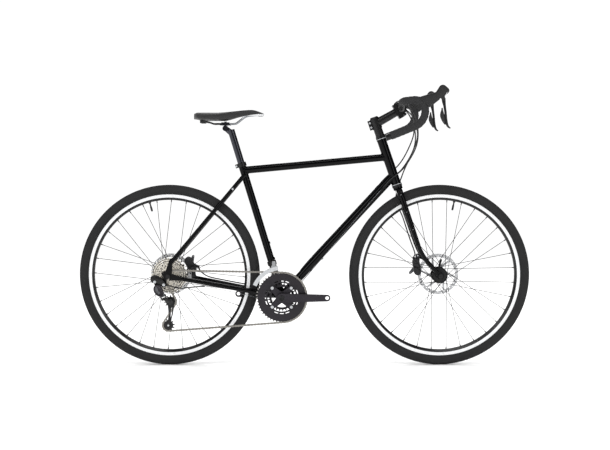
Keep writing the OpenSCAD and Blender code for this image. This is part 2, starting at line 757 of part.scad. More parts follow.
hood_balls = [[52, 22, 16], [84, 11, 14], [124, 44, 15], [140, 69, 15], [153, 62, 12]];
hook_c = bar + [reach_bend - hook_r[0] * cos(95), 0, bar_rise + reach_bend * cos(85) - hook_r[0] * sin(95)];
module ball(b) translate([bar[0] + b[0], 0, bar[2] + b[1]]) sphere(b[2], $fn = 24);
module at_drop(side) translate([0, side * drop_y, 0]) children();
module hood() {
    difference() {
        union() {
            hull() for (i = [0, 1, 2]) ball(hood_balls[i]);
            hull() for (i = [2, 3, 4]) ball(hood_balls[i]);
            plate(-10, 10) polygon(capsule(xz(lever_pin) + [-8, 20], xz(lever_pin), 10, 6));
        }
        translate(hook_c) rotate([90, 0, 0]) rotate_extrude() translate([hook_r[0], 0]) circle(tape_r + run);
        pin_y(hook_c, -tape_r, tape_r, hook_r[0]);
        rod(hook_c + [4, 0, hook_r[0]], hook_c + [-60, 0, hook_r[0] - 5], tape_r + 0.2);
        pin_y(lever_pin, -6.5, 6.5, 14);
    }
    pin_y(lever_pin, -9, 9, 2.5);
}
module brake_hoods() {
    color("black") for (s = [-1, 1]) at_drop(s) hood();
}

blade = [[0, 0, 8.5], [4, -30, 6], [6, -62, 6], [9, -92, 6], [20, -103, 4]];
module brake_lever(side) {
    color("dimgray") at_drop(side) difference() {
        union() {
            plate(-5.5, 5.5) for (i = [0 : len(blade) - 2]) polygon(capsule(
                xz(lever_pin) + [blade[i][0], blade[i][1]], xz(lever_pin) + [blade[i + 1][0], blade[i + 1][1]],
                blade[i][2], blade[i + 1][2]));
            rod(paddle_pin + [4, 0, 0], paddle_pin + [-12, 0, 0], 2);
        }
        pin_y(lever_pin, -20, 20, 2.5 + run);
    }
}
module right_brake_lever() brake_lever(-1);
module left_brake_lever() brake_lever(1);

module shift_paddle(side) {
    color("dimgray") at_drop(side) difference() {
        plate(-4.5, 4.5) {
            polygon(capsule(xz(paddle_pin) + [-6.5, 0], xz(paddle_pin) + [-6, -24], 4, 4.5));
            polygon(capsule(xz(paddle_pin) + [-6, -24], xz(paddle_pin) + [-6.5, -44], 4.5, 6.5));
        }
        rod(paddle_pin + [10, 0, 0], paddle_pin + [-20, 0, 0], 2 + run);
    }
}
module right_shift_paddle() shift_paddle(-1);
module left_shift_paddle() shift_paddle(1);

// Disc brakes: the caliper's body, its bracket and the arm that the cable pulls

front_rotor_y = 38;
rear_rotor_y = 52;
front_cal = front + [-84, front_rotor_y, 28];
rear_cal = rear + [76, rear_rotor_y, 36];
pad_gap = 0.7;
arm_pin_r = 4;
cal_in = 11;
cal_out = 19;
arm_y = cal_out + 5;

// The body around the edge of the rotor, lying along the direction a
module caliper_body(c, axle, a) {
    run_dir = [cos(a), sin(a)];
    difference() {
        union() {
            plate(c[1] - cal_in, c[1] + cal_out)
                polygon(capsule(xz(c) - 19 * run_dir, xz(c) + 19 * run_dir, 14, 14));
            pin_y(c, c[1] + cal_out - 1, c[1] + arm_y - gap, 13);
        }
        pin_y(axle, c[1] - rotor_t / 2 - pad_gap, c[1] + rotor_t / 2 + pad_gap, rotor_d / 2 + 4);
    }
    pin_y(c, c[1] + cal_out, c[1] + arm_y + 7, arm_pin_r);
}
module caliper_arm(c, tip) {
    color("silver") difference() {
        plate(c[1] + arm_y, c[1] + arm_y + 4) polygon(capsule(xz(c), xz(c) + tip, 9, 5));
        pin_y(c, c[1], c[1] + 60, arm_pin_r + run);
        pin_y(c + [tip[0], 0, tip[1]], c[1], c[1] + 60, wire_r + gap);
    }
}

front_arm = [-24, -26];
rear_arm = [8.4, 31.4];
rear_stop = [29.1, -10.6];
module front_caliper() {
    bolt = tab_bolt;
    color("dimgray") {
        caliper_body(front_cal, front, 100);
        difference() {
            plate(tab_y - 5.5, tab_y - run) {
                polygon(capsule(xz(bolt), xz(front_cal) + [0, 10], 8, 8));
                polygon(capsule(xz(bolt), xz(front_cal) + [6, 26], 8, 6));
            }
            pin_y(bolt, 0, 90, 3.2);
        }
        stop_block(front_cal, [-10, 34]);
    }
    color("silver") {
        pin_y(bolt, tab_y - 6, tab_y + 8, 3);
        pin_y(bolt, tab_y + 6 + run, tab_y + 10, 5);
    }
}
// The tab where the brake housing ends, in the plane of the arm
module stop_block(c, at) {
    plate(c[1] + cal_out - 4, c[1] + arm_y + 5) difference() {
        polygon(capsule(xz(c) + 0.5 * at, xz(c) + at, 6, 5));
        translate(xz(c)) circle(12);
    }
}
module front_caliper_arm() caliper_arm(front_cal, front_arm);

module rear_caliper() {
    color("dimgray") {
        caliper_body(rear_cal, rear, 118);
        difference() {
            plate(rear_cal[1] + 5, rear_cal[1] + 16)
                polygon([for (p = [[-14, -6], [14, -10], [24, -58], [-18, -50]]) xz(rear_cal) + p]);
            rod(cs_front, cs_rear, stay_r[0] + weld, stay_r[1] + weld);
            dropout_slot();
        }
        stop_block(rear_cal, rear_stop);
    }
}
module rear_caliper_arm() caliper_arm(rear_cal, rear_arm);

// Wheels

spoke_r = spoke_d / 2;
flange_t = 3;
front_flange = [-27, 23];
rear_flange = [-17.5, 31];
hole_r = [27.5, 26.5];
flange_r = [31, 30];
crosses = 3;
rim_offset = 1.5;

// One spoke: its angle at the rim, at the hub, the side of the flange it leaves from
function rim_angle(j, phase) = phase + 360 * j / spoke_count;
function hub_angle(j, phase) = rim_angle(j, phase) + (outside(j) ? 1 : -1) * crosses * 720 / spoke_count;
function polar(c, r, a, y) = [c[0] + r * cos(a), y, c[2] + r * sin(a)];
function outside(j) = floor(j / 2) % 2 == 0;
function flange_y(j, flanges) = j % 2 == 0 ? flanges[0] : flanges[1];
// Where the spoke leaves the flange: below or above it, and on its outer face far enough to clear the edge
function spoke_y(j, flanges) = let(
    y = flange_y(j, flanges),
    low = (j % 2 == 0) == outside(j),
    off = spoke_r + 0.15 + (low == (y < 0) ? abs(y) / 24 : 0)
) low ? y - off : y + flange_t + off;
function spoke_low(j, c, flanges, rh, phase) = polar(c, rh, hub_angle(j, phase), spoke_y(j, flanges));
function spoke_high(j, c, phase) = polar(c, nipple_r, rim_angle(j, phase), (j % 2 == 0 ? -1 : 1) * rim_offset);

module spokes(c, flanges, rh, phase) {
    for (j = [0 : spoke_count - 1]) {
        a = spoke_low(j, c, flanges, rh, phase);
        b = spoke_high(j, c, phase);
        d = unit(b - a);
        y0 = flange_y(j, flanges);
        inner = a[1] < y0 ? y0 + flange_t + 0.1 : y0 - 0.1;
        color("silver") {
            rod(a, b, spoke_r);
            pin_y(a, min(a[1], inner), max(a[1], inner), spoke_r + 0.08);
            pin_y(a, inner - (inner < a[1] ? 1.2 : 0), inner + (inner < a[1] ? 0 : 1.2), 2);
            rod(b - 10 * d, b + 2 * d, 1.9);
        }
    }
}
module spoke_holes(c, flanges, rh, phase) {
    for (j = [0 : spoke_count - 1]) pin_y(spoke_low(j, c, flanges, rh, phase),
        flange_y(j, flanges) - 1, flange_y(j, flanges) + flange_t + 1, spoke_r + 0.3);
}

module tyre(c) {
    low = bead_r + flange_h + 0.6;
    half = rim_w / 2 - 2.3;
    color("dimgray") turned_y(c) difference() {
        union() {
            intersection() {
                translate([tread_c, 0]) circle(tyre_w / 2);
                translate([low, -tyre_w]) square([tyre_w * 2, tyre_w * 2]);
            }
            translate([bead_r + 1, -half]) square([flange_h + 1, 2 * half]);
        }
        intersection() {
            translate([tread_c, 0]) circle(tyre_w / 2 - casing);
            translate([low + 1.6, -tyre_w]) square([tyre_w * 2, tyre_w * 2]);
        }
        translate([bead_r, -half + casing]) square([flange_h + 3, 2 * (half - casing)]);
    }
}
tube_r = 11;
valve_r = 3;
valve_len = 42;
module inner_tube(c, angle) {
    mid = tread_c - 1;
    color("black") difference() {
        union() {
            turned_y(c) translate([mid, 0]) circle(tube_r);
            rod(polar(c, mid, angle, 0), polar(c, bead_r - valve_len, angle, 0), valve_r);
            rod(polar(c, rim_in - 0.2, angle, 0), polar(c, rim_in - 4, angle, 0), 5);
        }
        turned_y(c) translate([mid, 0]) circle(tube_r - 1);
        rod(polar(c, mid, angle, 0), polar(c, bead_r - valve_len - 1, angle, 0), 1);
    }
}
module rim(c, flanges, rh, phase, angle) {
    half = rim_w / 2;
    top = bead_r + flange_h;
    color("silver") difference() {
        turned_y(c) difference() {
            polygon([
                [top, half], [rim_in + 7, half - 0.6], [rim_in, 7], [rim_in, -7], [rim_in + 7, 0.6 - half],
                [top, -half], [top, 1.6 - half], [bead_r, 1.8 - half], [bead_r - 0.5, -7], [bead_r - 4, -5],
                [bead_r - 4, 5], [bead_r - 0.5, 7], [bead_r, half - 1.8], [top, half - 1.6]
            ]);
            polygon([
                [rim_in + 8.5, half - 2.2], [rim_in + 1.8, 5.8], [rim_in + 1.8, -5.8], [rim_in + 8.5, 2.2 - half],
                [bead_r - 5.6, 2.2 - half], [bead_r - 5.6, half - 2.2]
            ]);
        }
        for (j = [0 : spoke_count - 1]) {
            b = spoke_high(j, c, phase);
            d = unit(b - spoke_low(j, c, flanges, rh, phase));
            rod(b - 8 * d, b + 3 * d, 2.2);
        }
        rod(polar(c, rim_in - 9, angle, 0), polar(c, bead_r + 3, angle, 0), valve_r + 0.2);
    }
}

// Braking disc: a drilled band on six slanting arms
rotor_holes = 18;
module rotor(c) {
    r = rotor_d / 2;
    band = r - 13.5;
    color("silver") plate(c[1] - rotor_t / 2, c[1] + rotor_t / 2) translate(xz(c)) difference() {
        union() {
            difference() {
                circle(r);
                circle(band);
            }
            circle(25);
            for (i = [0 : 5]) rotate(60 * i) polygon(capsule([18, 12], [band + 3, -14], 5, 3.6));
        }
        circle(17.5);
        for (i = [0 : rotor_holes - 1], k = [0, 1]) rotate(360 * (i + k / 2) / rotor_holes)
            translate([r - 4 - 5.5 * k, 0]) circle(2);
        for (i = [0 : 5]) rotate(60 * i + 15) translate([21, 0]) circle(1.8);
    }
}

front_phase = 5.6;
rear_phase = -1.6;
front_valve = front_phase + 360 * 7 / spoke_count - 180 / spoke_count;
rear_valve = rear_phase + 360 * 9 / spoke_count + 180 / spoke_count;
front_end = front_oln / 2 - 4;
rear_end = rear_oln / 2 - 4;
free_r = 16.5;

module front_tyre() tyre(front);
module front_tube() inner_tube(front, front_valve);
module front_rim() rim(front, front_flange, hole_r[0], front_phase, front_valve);
module front_spokes() spokes(front, front_flange, hole_r[0], front_phase);
module front_rotor() rotor(front + [0, front_rotor_y, 0]);
module front_hub() {
    f = front_flange;
    color("black") difference() {
        turned_y(front) difference() {
            union() {
                translate([0, -front_end]) square([9, 2 * front_end]);
                translate([0, f[0] - 6]) square([15, f[1] - f[0] + 15]);
                for (y = f) translate([0, y]) square([flange_r[0], flange_t]);
                translate([0, f[1] + 8]) square([23, front_rotor_y - rotor_t / 2 - f[1] - 8 - run]);
                translate([0, f[1]]) square([17, front_rotor_y - f[1] + 1]);
                translate([0, front_rotor_y + rotor_t / 2 + run]) square([20, 3]);
            }
            translate([-1, -80]) square([1 + axle_r[0] + run, 160]);
        }
        spoke_holes(front, f, hole_r[0], front_phase);
    }
}
module rear_tyre() tyre(rear);
module rear_tube() inner_tube(rear, rear_valve);
module rear_rim() rim(rear, rear_flange, hole_r[1], rear_phase, rear_valve);
module rear_spokes() spokes(rear, rear_flange, hole_r[1], rear_phase);
module rear_rotor() rotor(rear + [0, rear_rotor_y, 0]);
module rear_hub() {
    f = rear_flange;
    color("black") difference() {
        turned_y(rear) difference() {
            union() {
                translate([0, -rear_end]) square([9, 2 * rear_end]);
                translate([0, f[0]]) square([16, f[1] - f[0] + 10]);
                for (y = f) translate([0, y]) square([flange_r[1], flange_t]);
                translate([0, -chain_y - 2]) square([free_r, chain_y]);
                translate([0, f[1] + 9]) square([23, rear_rotor_y - rotor_t / 2 - f[1] - 9 - run]);
                translate([0, f[1]]) square([17, rear_rotor_y - f[1] + 1]);
                translate([0, rear_rotor_y + rotor_t / 2 + run]) square([20, 3]);
            }
            translate([-1, -90]) square([1 + axle_r[1] + run, 180]);
        }
        spoke_holes(rear, f, hole_r[1], rear_phase);
    }
}

// Axle with its two locknuts, the nut of the skewer, and the head that the lever turns in
qr_out = 6.1;
qr_eye = 8;
module axle(c, r, oln, lever_dir) {
    half = oln / 2;
    cam = c + [0, half + qr_out + qr_eye, 0];
    side = cross(lever_dir, [0, 1, 0]);
    color("silver") {
        pin_y(c, -half - qr_out - 6, half + qr_out + 1.5, r);
        both_sides() pin_y(c, half - 3.6, half - run, 8.5);
        pin_y(c, -half - qr_out - 10, -half - qr_out, 9);
    }
    color("silver") {
        difference() {
            pin_y(c, half + qr_out, half + qr_out + qr_eye + 3, 8.5);
            translate(cam) multmatrix([
                [lever_dir[0], 0, side[0], 0],
                [lever_dir[1], 1, side[1], 0],
                [lever_dir[2], 0, side[2], 0],
                [0, 0, 0, 1]
            ]) translate([-20, -qr_eye + 1.6, -4.2]) cube([40, 20, 8.4]);
        }
        rod(cam - 6 * side, cam + 6 * side, 2);
    }
}
module qr_lever(c, oln, lever_dir) {
    cam = c + [0, oln / 2 + qr_out + qr_eye, 0];
    side = cross(lever_dir, [0, 1, 0]);
    color("dimgray") difference() {
        union() {
            rod(cam - 3.9 * side, cam + 3.9 * side, 5.4);
            rod(cam + 4 * lever_dir, cam + 20 * lever_dir + [0, 4, 0], 3.6);
            rod(cam + 18 * lever_dir + [0, 4, 0], cam + 54 * lever_dir + [0, 1, 0], 3.8, 4.6);
            translate(cam + 54 * lever_dir + [0, 1, 0]) sphere(4.9);
        }
        rod(cam - 12 * side, cam + 12 * side, 2 + run);
    }
}
front_qr_dir = [cos(75), 0, sin(75)];
rear_qr_dir = [cos(35), 0, sin(35)];
module front_axle() axle(front, axle_r[0], front_oln, front_qr_dir);
module rear_axle() axle(rear, axle_r[1], rear_oln, rear_qr_dir);
module front_quick_release() qr_lever(front, front_oln, front_qr_dir);
module rear_quick_release() qr_lever(rear, rear_oln, rear_qr_dir);

// Drivetrain

// The four wheels that the chain runs over, in its order of travel: place, radius, turning sense, teeth
function chain_wheels(swing) = [
    [xz(bb), pitch_r(ring_teeth), -1, ring_teeth],
    [xz(guide) - cage_len * [sin(swing), cos(swing)], pitch_r(jockey_teeth), -1, jockey_teeth],
    [xz(guide), pitch_r(jockey_teeth), 1, jockey_teeth],
    [xz(rear), pitch_r(cogs[0]), -1, cogs[0]]
];
function lead(a, b) = b[2] * b[1] - a[2] * a[1];
function heading(a, b) = let(d = b[0] - a[0]) atan2(d[1], d[0]) - asin(lead(a, b) / norm(d));
function span(a, b) = let(d = b[0] - a[0]) sqrt(d * d - pow(lead(a, b), 2)) / pitch;
function wrap(w, h0, h1) = (((w[2] * (h1 - h0)) % 360 + 360) % 360) * w[3] / 360;
function leaving(w) = [for (i = [0 : 3]) heading(w[i], w[(i + 1) % 4])];
// Pitches on each wheel and on each free run after it
function stretches(swing) = let(w = chain_wheels(swing), h = leaving(w))
    [for (i = [0 : 3]) each [wrap(w[i], h[(i + 3) % 4], h[i]), span(w[i], w[(i + 1) % 4])]];
function sum(v, n) = n == 0 ? 0 : v[n - 1] + sum(v, n - 1);
// A longer chain stay takes more links, two at a time
chain_links = links + 2 * round((chainstay - 446) / pitch);
// The cage swings back until the loop holds the whole number of links
function cage_swing(low, high, n) = let(mid = (low + high) / 2) n == 0 ? mid
    : sum(stretches(mid), 8) < chain_links ? cage_swing(mid, high, n - 1) : cage_swing(low, mid, n - 1);
swing = cage_swing(-35, 60, 40);
wheels = chain_wheels(swing);
leave = leaving(wheels);
lengths = stretches(swing);
starts = [for (i = [0 : 8]) sum(lengths, i)];
tension = [wheels[1][0][0], 0, wheels[1][0][1]];
function arrival(k) = leave[(k + 3) % 4] - 90 * wheels[k][2];
function on_wheel(k, f) = let(w = wheels[k], a = arrival(k) + w[2] * f * 360 / w[3])
    w[0] + w[1] * [cos(a), sin(a)];
function on_run(k, f) = on_wheel(k, lengths[2 * k]) + f * pitch * [cos(leave[k]), sin(leave[k])];
function stretch_of(u, i = 0) = i == 7 || u < starts[i + 1] ? i : stretch_of(u, i + 1);
function pin_at(u) = let(i = stretch_of(u), k = floor(i / 2), f = u - starts[i])
    i % 2 == 0 ? on_wheel(k, f) : on_run(k, f);
// Angle of a gap between teeth where a chain pin lies
function gap_angle(k) = let(u = starts[2 * k]) arrival(k) + wheels[k][2] * (ceil(u) - u) * 360 / wheels[k][3];

// Sprocket outline: a seat for each roller and a narrow tip between two seats
seat_half = 65;
seat_r = roller_r / cos(seat_half / 3) + 0.15;
tip_half = 1.3;
tip_h = 2.9;
module sprocket(n, phase) {
    r = pitch_r(n);
    w = asin(tip_half / r);
    polygon([for (i = [0 : n - 1]) let(a = phase + 360 * i / n, b = a + 180 / n) each concat(
        arc(r * [cos(a), sin(a)], seat_r, a + 180 + seat_half, a + 180 - seat_half, 3),
        [for (s = [-1, 1]) (r + tip_h) * [cos(b + s * w), sin(b + s * w)]]
    )]);
}
module at_y(y) plate(y - tooth_t / 2, y + tooth_t / 2) children();

module cassette() {
    color("silver") {
        for (i = [0 : len(cogs) - 1]) at_y(-chain_y + cog_step * i) translate(xz(rear)) difference() {
            sprocket(cogs[i], i == 0 ? gap_angle(3) : 3 * i);
            circle(free_r + run);
            if (cogs[i] > 18) cog_windows(pitch_r(cogs[i]));
        }
        turned_y(rear) translate([free_r + run, -chain_y - 1.5]) square([1.2, cog_step * 8 + 2]);
        turned_y(rear) translate([free_r + run, -chain_y + chain_steps[3] + gap]) square([3, cog_step * 7]);
        turned_y(rear) translate([9.5, -chain_y - 3.5]) square([free_r - 9.5, 1.4]);
    }
}
module cog_windows(r) {
    inner = free_r + 3.5;
    size = (r - 7 - inner) / 2 - 2;
    for (i = [0 : 5]) rotate(60 * i) translate([inner + 2 + size, 0]) circle(size);
}

bolt_circle = 52;
small_circle = 32;
bolt_r = 4;
bolt_turn = 45;
ring_y = [for (i = [0 : 2]) -chain_y + ring_gap * i];
module ring_tabs(from, to) for (i = [0 : 3]) rotate(bolt_turn + 90 * i)
    polygon(capsule([from, 0], [to, 0], 10, 7));
module bolt_holes(r) for (i = [0 : 3]) rotate(bolt_turn + 90 * i) translate([r, 0]) circle(bolt_r);
module chainring(i, n, phase, inner, bolts) {
    at_y(ring_y[i]) translate(xz(bb)) difference() {
        union() {
            difference() {
                sprocket(n, phase);
                circle(inner);
            }
            ring_tabs(inner + 4, bolts);
        }
        bolt_holes(bolts);
    }
}
module chainrings() {
    color("dimgray") {
        chainring(0, ring_teeth, gap_angle(0), 62, bolt_circle);
        chainring(1, ring_steps[1], 2, 57, bolt_circle);
        chainring(2, ring_steps[2], 4, 40, small_circle);
    }
    color("silver") for (i = [0 : 3]) {
        a = bolt_turn + 90 * i;
        outer = polar(bb, bolt_circle, a, 0);
        inner = polar(bb, small_circle, a, 0);
        pin_y(outer, ring_y[0] - 8, ring_y[1] + 2.4, bolt_r - run);
        pin_y(outer, ring_y[0] - 8, ring_y[0] - 6.1, 6);
        pin_y(outer, ring_y[0] + 1, ring_y[1] - 1, 6.2);
        pin_y(inner, ring_y[0] - 0.9, ring_y[2] + 2.4, bolt_r - run);
        pin_y(inner, ring_y[0] - 0.9, ring_y[2] - 1, 6);
    }
}

pedal_r = 7.14;
arm_in = 74;
arm_out = 88;
module crank_arm(dir) polygon(capsule(xz(bb), xz(bb) + [dir * crank_len, 0], 17.5, 12.5, 12));
module right_crank() {
    color("dimgray") difference() {
        union() {
            plate(-arm_out, -arm_in) crank_arm(1);
            pin_y(bb, -arm_in - 1, -shell_half - 10.4, 16.5);
            plate(ring_y[0] - 6, ring_y[0] - 1) translate(xz(bb))
                for (i = [0 : 3]) rotate(bolt_turn + 90 * i) polygon(capsule([0, 0], [bolt_circle, 0], 17, 9));
            pin_y(bb, -arm_in, arm_out - 2, spindle_r);
        }
        plate(-arm_out, 0) translate(xz(bb)) bolt_holes(bolt_circle);
        pin_y(bb + [crank_len, 0, 0], -arm_out - 1, -arm_in + 1, pedal_r);
        pin_y(bb, -arm_out - 1, arm_out, spindle_r - 3);
    }
}
module left_crank() {
    color("dimgray") {
        difference() {
            union() {
                plate(arm_in, arm_out) crank_arm(-1);
                pin_y(bb, shell_half + 10.4, arm_in + 1, 16.5);
            }
            pin_y(bb, 0, 100, spindle_r + run);
            pin_y(bb - [crank_len, 0, 0], arm_in - 1, arm_out + 1, pedal_r);
        }
        pin_y(bb, arm_out - 1.9, arm_out + 2, spindle_r - run);
    }
}

// Chain: inner links carry the rollers, outer links lie over them
plate_r = 4.2;
chain_steps = [1.25, 2.1, 2.2, 3.05];
function link_outline(p, q) = let(a = atan2(q[1] - p[1], q[0] - p[0]))
    concat(arc(q, plate_r, a - 130, a + 130, 3), arc(p, plate_r, a + 50, a + 310, 3));
// The two plates of a link, mid from the chain's middle
link_t = 0.85;
module link_plates(mid, p, q) for (k = [-1, 1])
    plate(-chain_y + k * mid - link_t / 2, -chain_y + k * mid + link_t / 2) polygon(link_outline(p, q));
module chain() {
    pins = [for (i = [0 : chain_links]) pin_at(i % chain_links)];
    s = chain_steps;
    for (i = [0 : 2 : chain_links - 1]) {
        color("silver") {
            link_plates((s[0] + s[1]) / 2, pins[i], pins[i + 1]);
            plate(-chain_y - s[0], -chain_y + s[0]) for (k = [0, 1])
                translate(pins[i + k]) circle(roller_r, $fn = 8);
        }
        color("gray") link_plates((s[2] + s[3]) / 2, pins[i + 1], pins[i + 2]);
    }
}

// Front derailleur: a band round the seat tube, a link and the cage that the chain passes through

fd_at = 135;
fd_pin = on_seat(fd_at) + [8, -27, 4];
fd_len = 24;
fd_drop = 40;
fd_cage_pin = fd_pin - fd_len * [0, cos(fd_drop), sin(fd_drop)];
fd_half = 6.5;
fd_eye = 4.4;
fd_pin_r = 1.8;
fd_arc = [97, 156];
fd_edge = [106.5, 122];
fd_wide = 5.2;
// A flat shape drawn in Y and Z, from x0 to x1
module cross_plate(x0, x1) translate([x0, 0, 0]) rotate([90, 0, 90]) linear_extrude(x1 - x0) children();
function yz(p) = [p[1], p[2]];

fd_ears = [[-fd_half - 3.4, -fd_half - gap], [fd_half + gap, fd_half + 3.4]];
module front_derailleur_body() {
    x = fd_pin[0];
    color("black") difference() {
        union() {
            seat_frame() ring_z(fd_at - 8, fd_at + 8, st_r + 3.6, st_r + run);
            for (k = fd_ears) cross_plate(x + k[0], x + k[1])
                polygon(capsule(yz(fd_pin), [-st_r - 2, fd_pin[2] - 3], fd_eye, 6));
            translate([x - fd_half - 3.4, -st_r - 4.4, fd_pin[2] - 8]) cube([2 * fd_half + 6.8, 4, 10]);
        }
        seat_cut();
    }
    color("silver") rod(fd_pin - [fd_half + 3, 0, 0], fd_pin + [fd_half + 3, 0, 0], fd_pin_r);
}
module front_derailleur_link() {
    x = fd_pin[0];
    color("dimgray") difference() {
        cross_plate(x - fd_half, x + fd_half) polygon(capsule(yz(fd_pin), yz(fd_cage_pin), fd_eye, fd_eye));
        for (p = [fd_pin, fd_cage_pin]) rod(p - [20, 0, 0], p + [20, 0, 0], fd_pin_r + run);
    }
}
module cage_side(y) plate(y - 0.75, y + 0.75) polygon(concat(
    arc(xz(bb), fd_edge[1], fd_arc[0], fd_arc[1], 16), arc(xz(bb), fd_edge[0], fd_arc[1], fd_arc[0], 16)));
module front_derailleur_cage() {
    x = fd_cage_pin[0];
    color("silver") {
        for (k = [-1, 1]) cage_side(-chain_y + k * fd_wide);
        plate(-chain_y - fd_wide, -chain_y + fd_wide) {
            polygon(concat(arc(xz(bb), fd_edge[1], 97, 107, 4), arc(xz(bb), fd_edge[1] - 2, 107, 97, 4)));
            polygon(concat(arc(xz(bb), fd_edge[1] - 4, 152, 156, 3), arc(xz(bb), fd_edge[0] + 2, 156, 152, 3)));
        }
        for (k = fd_ears) cross_plate(x + k[0], x + k[1])
            polygon(capsule(yz(fd_cage_pin), [-chain_y + fd_wide + 2.2, fd_cage_pin[2] - 3], fd_eye, 3));
        rod(fd_cage_pin - [fd_half + 3, 0, 0], fd_cage_pin + [fd_half + 3, 0, 0], fd_pin_r);
    }
}

// Rear derailleur: a slanting parallelogram of two links between the body and the knuckle

rd_sweep = unit([0, 0.78, -0.63]);
rd_lean = let(b = [0.436, -0.566, -0.7]) unit(b - (b * rd_sweep) * rd_sweep);
rd_axis = cross(rd_lean, rd_sweep);
rd_rest = 12;
rd_travel = 46;
rd_len = 47;
rd_one = cos(rd_rest) * rd_lean + sin(rd_rest) * rd_sweep;
rd_two = cross(rd_axis, rd_one);
rd_pin = rear + [-36, -82, -34];
rd_knuckle_pin = rd_pin + rd_len * rd_one;
rd_side = 13 * [-sin(rd_travel / 2), cos(rd_travel / 2)];
rd_half = 7.9;
rd_eye = 4;
rd_pin_r = 2;
rd_ear = 3;
module rd_frame(p) translate(p) multmatrix([for (i = [0 : 2]) [rd_one[i], rd_two[i], rd_axis[i], 0]]) children();
module rd_link(p) {
    color("dimgray") rd_frame(p) difference() {
        translate([0, 0, -rd_half]) linear_extrude(2 * rd_half)
            polygon(capsule([0, 0], [rd_len, 0], rd_eye, rd_eye));
        for (x = [0, rd_len]) translate([x, 0, -20]) cylinder(h = 40, r = rd_pin_r + run);
    }
}
function rd_point(p, v) = p + v[0] * rd_one + v[1] * rd_two;
// Two ears with their pins, joined by a bar at back, on the side away from the links
module rd_ears(p, back) {
    rd_frame(p) {
        for (z = [-rd_half - gap - rd_ear, rd_half + gap]) translate([0, 0, z]) linear_extrude(rd_ear) {
            polygon(capsule([0, 0], rd_side, 5, 5));
            for (q = [[0, 0], rd_side]) polygon(capsule(q, [back, rd_side[1] / 2], 5, 5));
        }
        translate([back - 3, -1, -rd_half - rd_ear]) cube([6, rd_side[1] + 2, 2 * rd_half + 2 * rd_ear]);
        for (q = [[0, 0], rd_side]) translate([q[0], q[1], -rd_half - 2])
            cylinder(h = 2 * rd_half + 4, r = rd_pin_r);
    }
}
module rear_derailleur_body() {
    ear = rd_point(rd_pin, [-9, 1]) + (rd_half + rd_ear - 0.4) * rd_axis;
    out = -drop_in - drop_t;
    color("black") {
        rd_ears(rd_pin, rd_side[0] - rd_eye - 3 - 1.5 * gap);
        pin_y(hanger, out - 13, out - weld, 10);
        pin_y(hanger, out - 2, -drop_in, hanger_r);
        rod([hanger[0], out - 10, hanger[2]], ear, 5.6, 4.5);
    }
}
module derailleur_outer_link() rd_link(rd_pin);
module derailleur_inner_link() rd_link(rd_point(rd_pin, rd_side));

cage_wide = 4.6;
cage_t = 1.6;
cage_axle_r = 5;
knuckle_y = [-chain_y - cage_wide - cage_t - gap - 20, -chain_y - cage_wide - cage_t - gap];
module derailleur_knuckle() {
    mid = rd_point(rd_knuckle_pin, [10, rd_side[1] / 2]);
    color("black") difference() {
        union() {
            rd_ears(rd_knuckle_pin, 10);
            pin_y(guide, knuckle_y[0], knuckle_y[1], 11);
            rod([guide[0], knuckle_y[0] + 9, guide[2]], mid, 9, 6);
        }
        pin_y(guide, knuckle_y[0] + 3, knuckle_y[1] + 5, cage_axle_r + run);
    }
}
jockey_pin_r = 2.5;
module derailleur_cage() {
    color("dimgray") {
        for (y = [-chain_y - cage_wide - cage_t, -chain_y + cage_wide]) plate(y, y + cage_t) difference() {
            union() {
                polygon(capsule(xz(guide), xz(tension), 12, 9));
                polygon(capsule(xz(guide), xz(guide) + [6, -14], 12, 10));
            }
            polygon(capsule(
                xz(guide) + 0.34 * xz(tension - guide), xz(guide) + 0.72 * xz(tension - guide), 4.5, 4
            ));
        }
        for (p = [guide, tension]) pin_y(p, -chain_y - cage_wide - 1, -chain_y + cage_wide + 1, jockey_pin_r);
        pin_y(guide, knuckle_y[0] + 3.5, -chain_y - cage_wide - 0.5, cage_axle_r);
    }
}
module jockey(p, phase) {
    color("dimgray") difference() {
        union() {
            at_y(-chain_y) translate(xz(p)) sprocket(jockey_teeth, phase);
            pin_y(p, -chain_y - cage_wide + gap, -chain_y + cage_wide - gap, 6);
        }
        pin_y(p, -100, 0, jockey_pin_r + run);
    }
}
module guide_pulley() jockey(guide, gap_angle(2));
module tension_pulley() jockey(tension, gap_angle(1));

// Cables

dt_len = norm(on_steer(dt_head) - bb);
function beside_dt(s, lateral, up) = bb + s * dt_dir + [0, lateral, 0] + up * dt_up;
function beside_stay(f, lateral, up) = cs_front + f * (cs_rear - cs_front) + [0, lateral, up];
// The rear brake's housing beside and above the down tube
dt_side = 0.52 * (dt_r + housing_r + 0.8);
dt_over = 0.854 * (dt_r + housing_r + 0.8);
brake_join = [dt_len * 0.88, dt_side, dt_over];
shift_stop = beside_dt(stop_s, -dt_r - stop_out, 0);
stay_stop = [0.76, 0, -12.6];

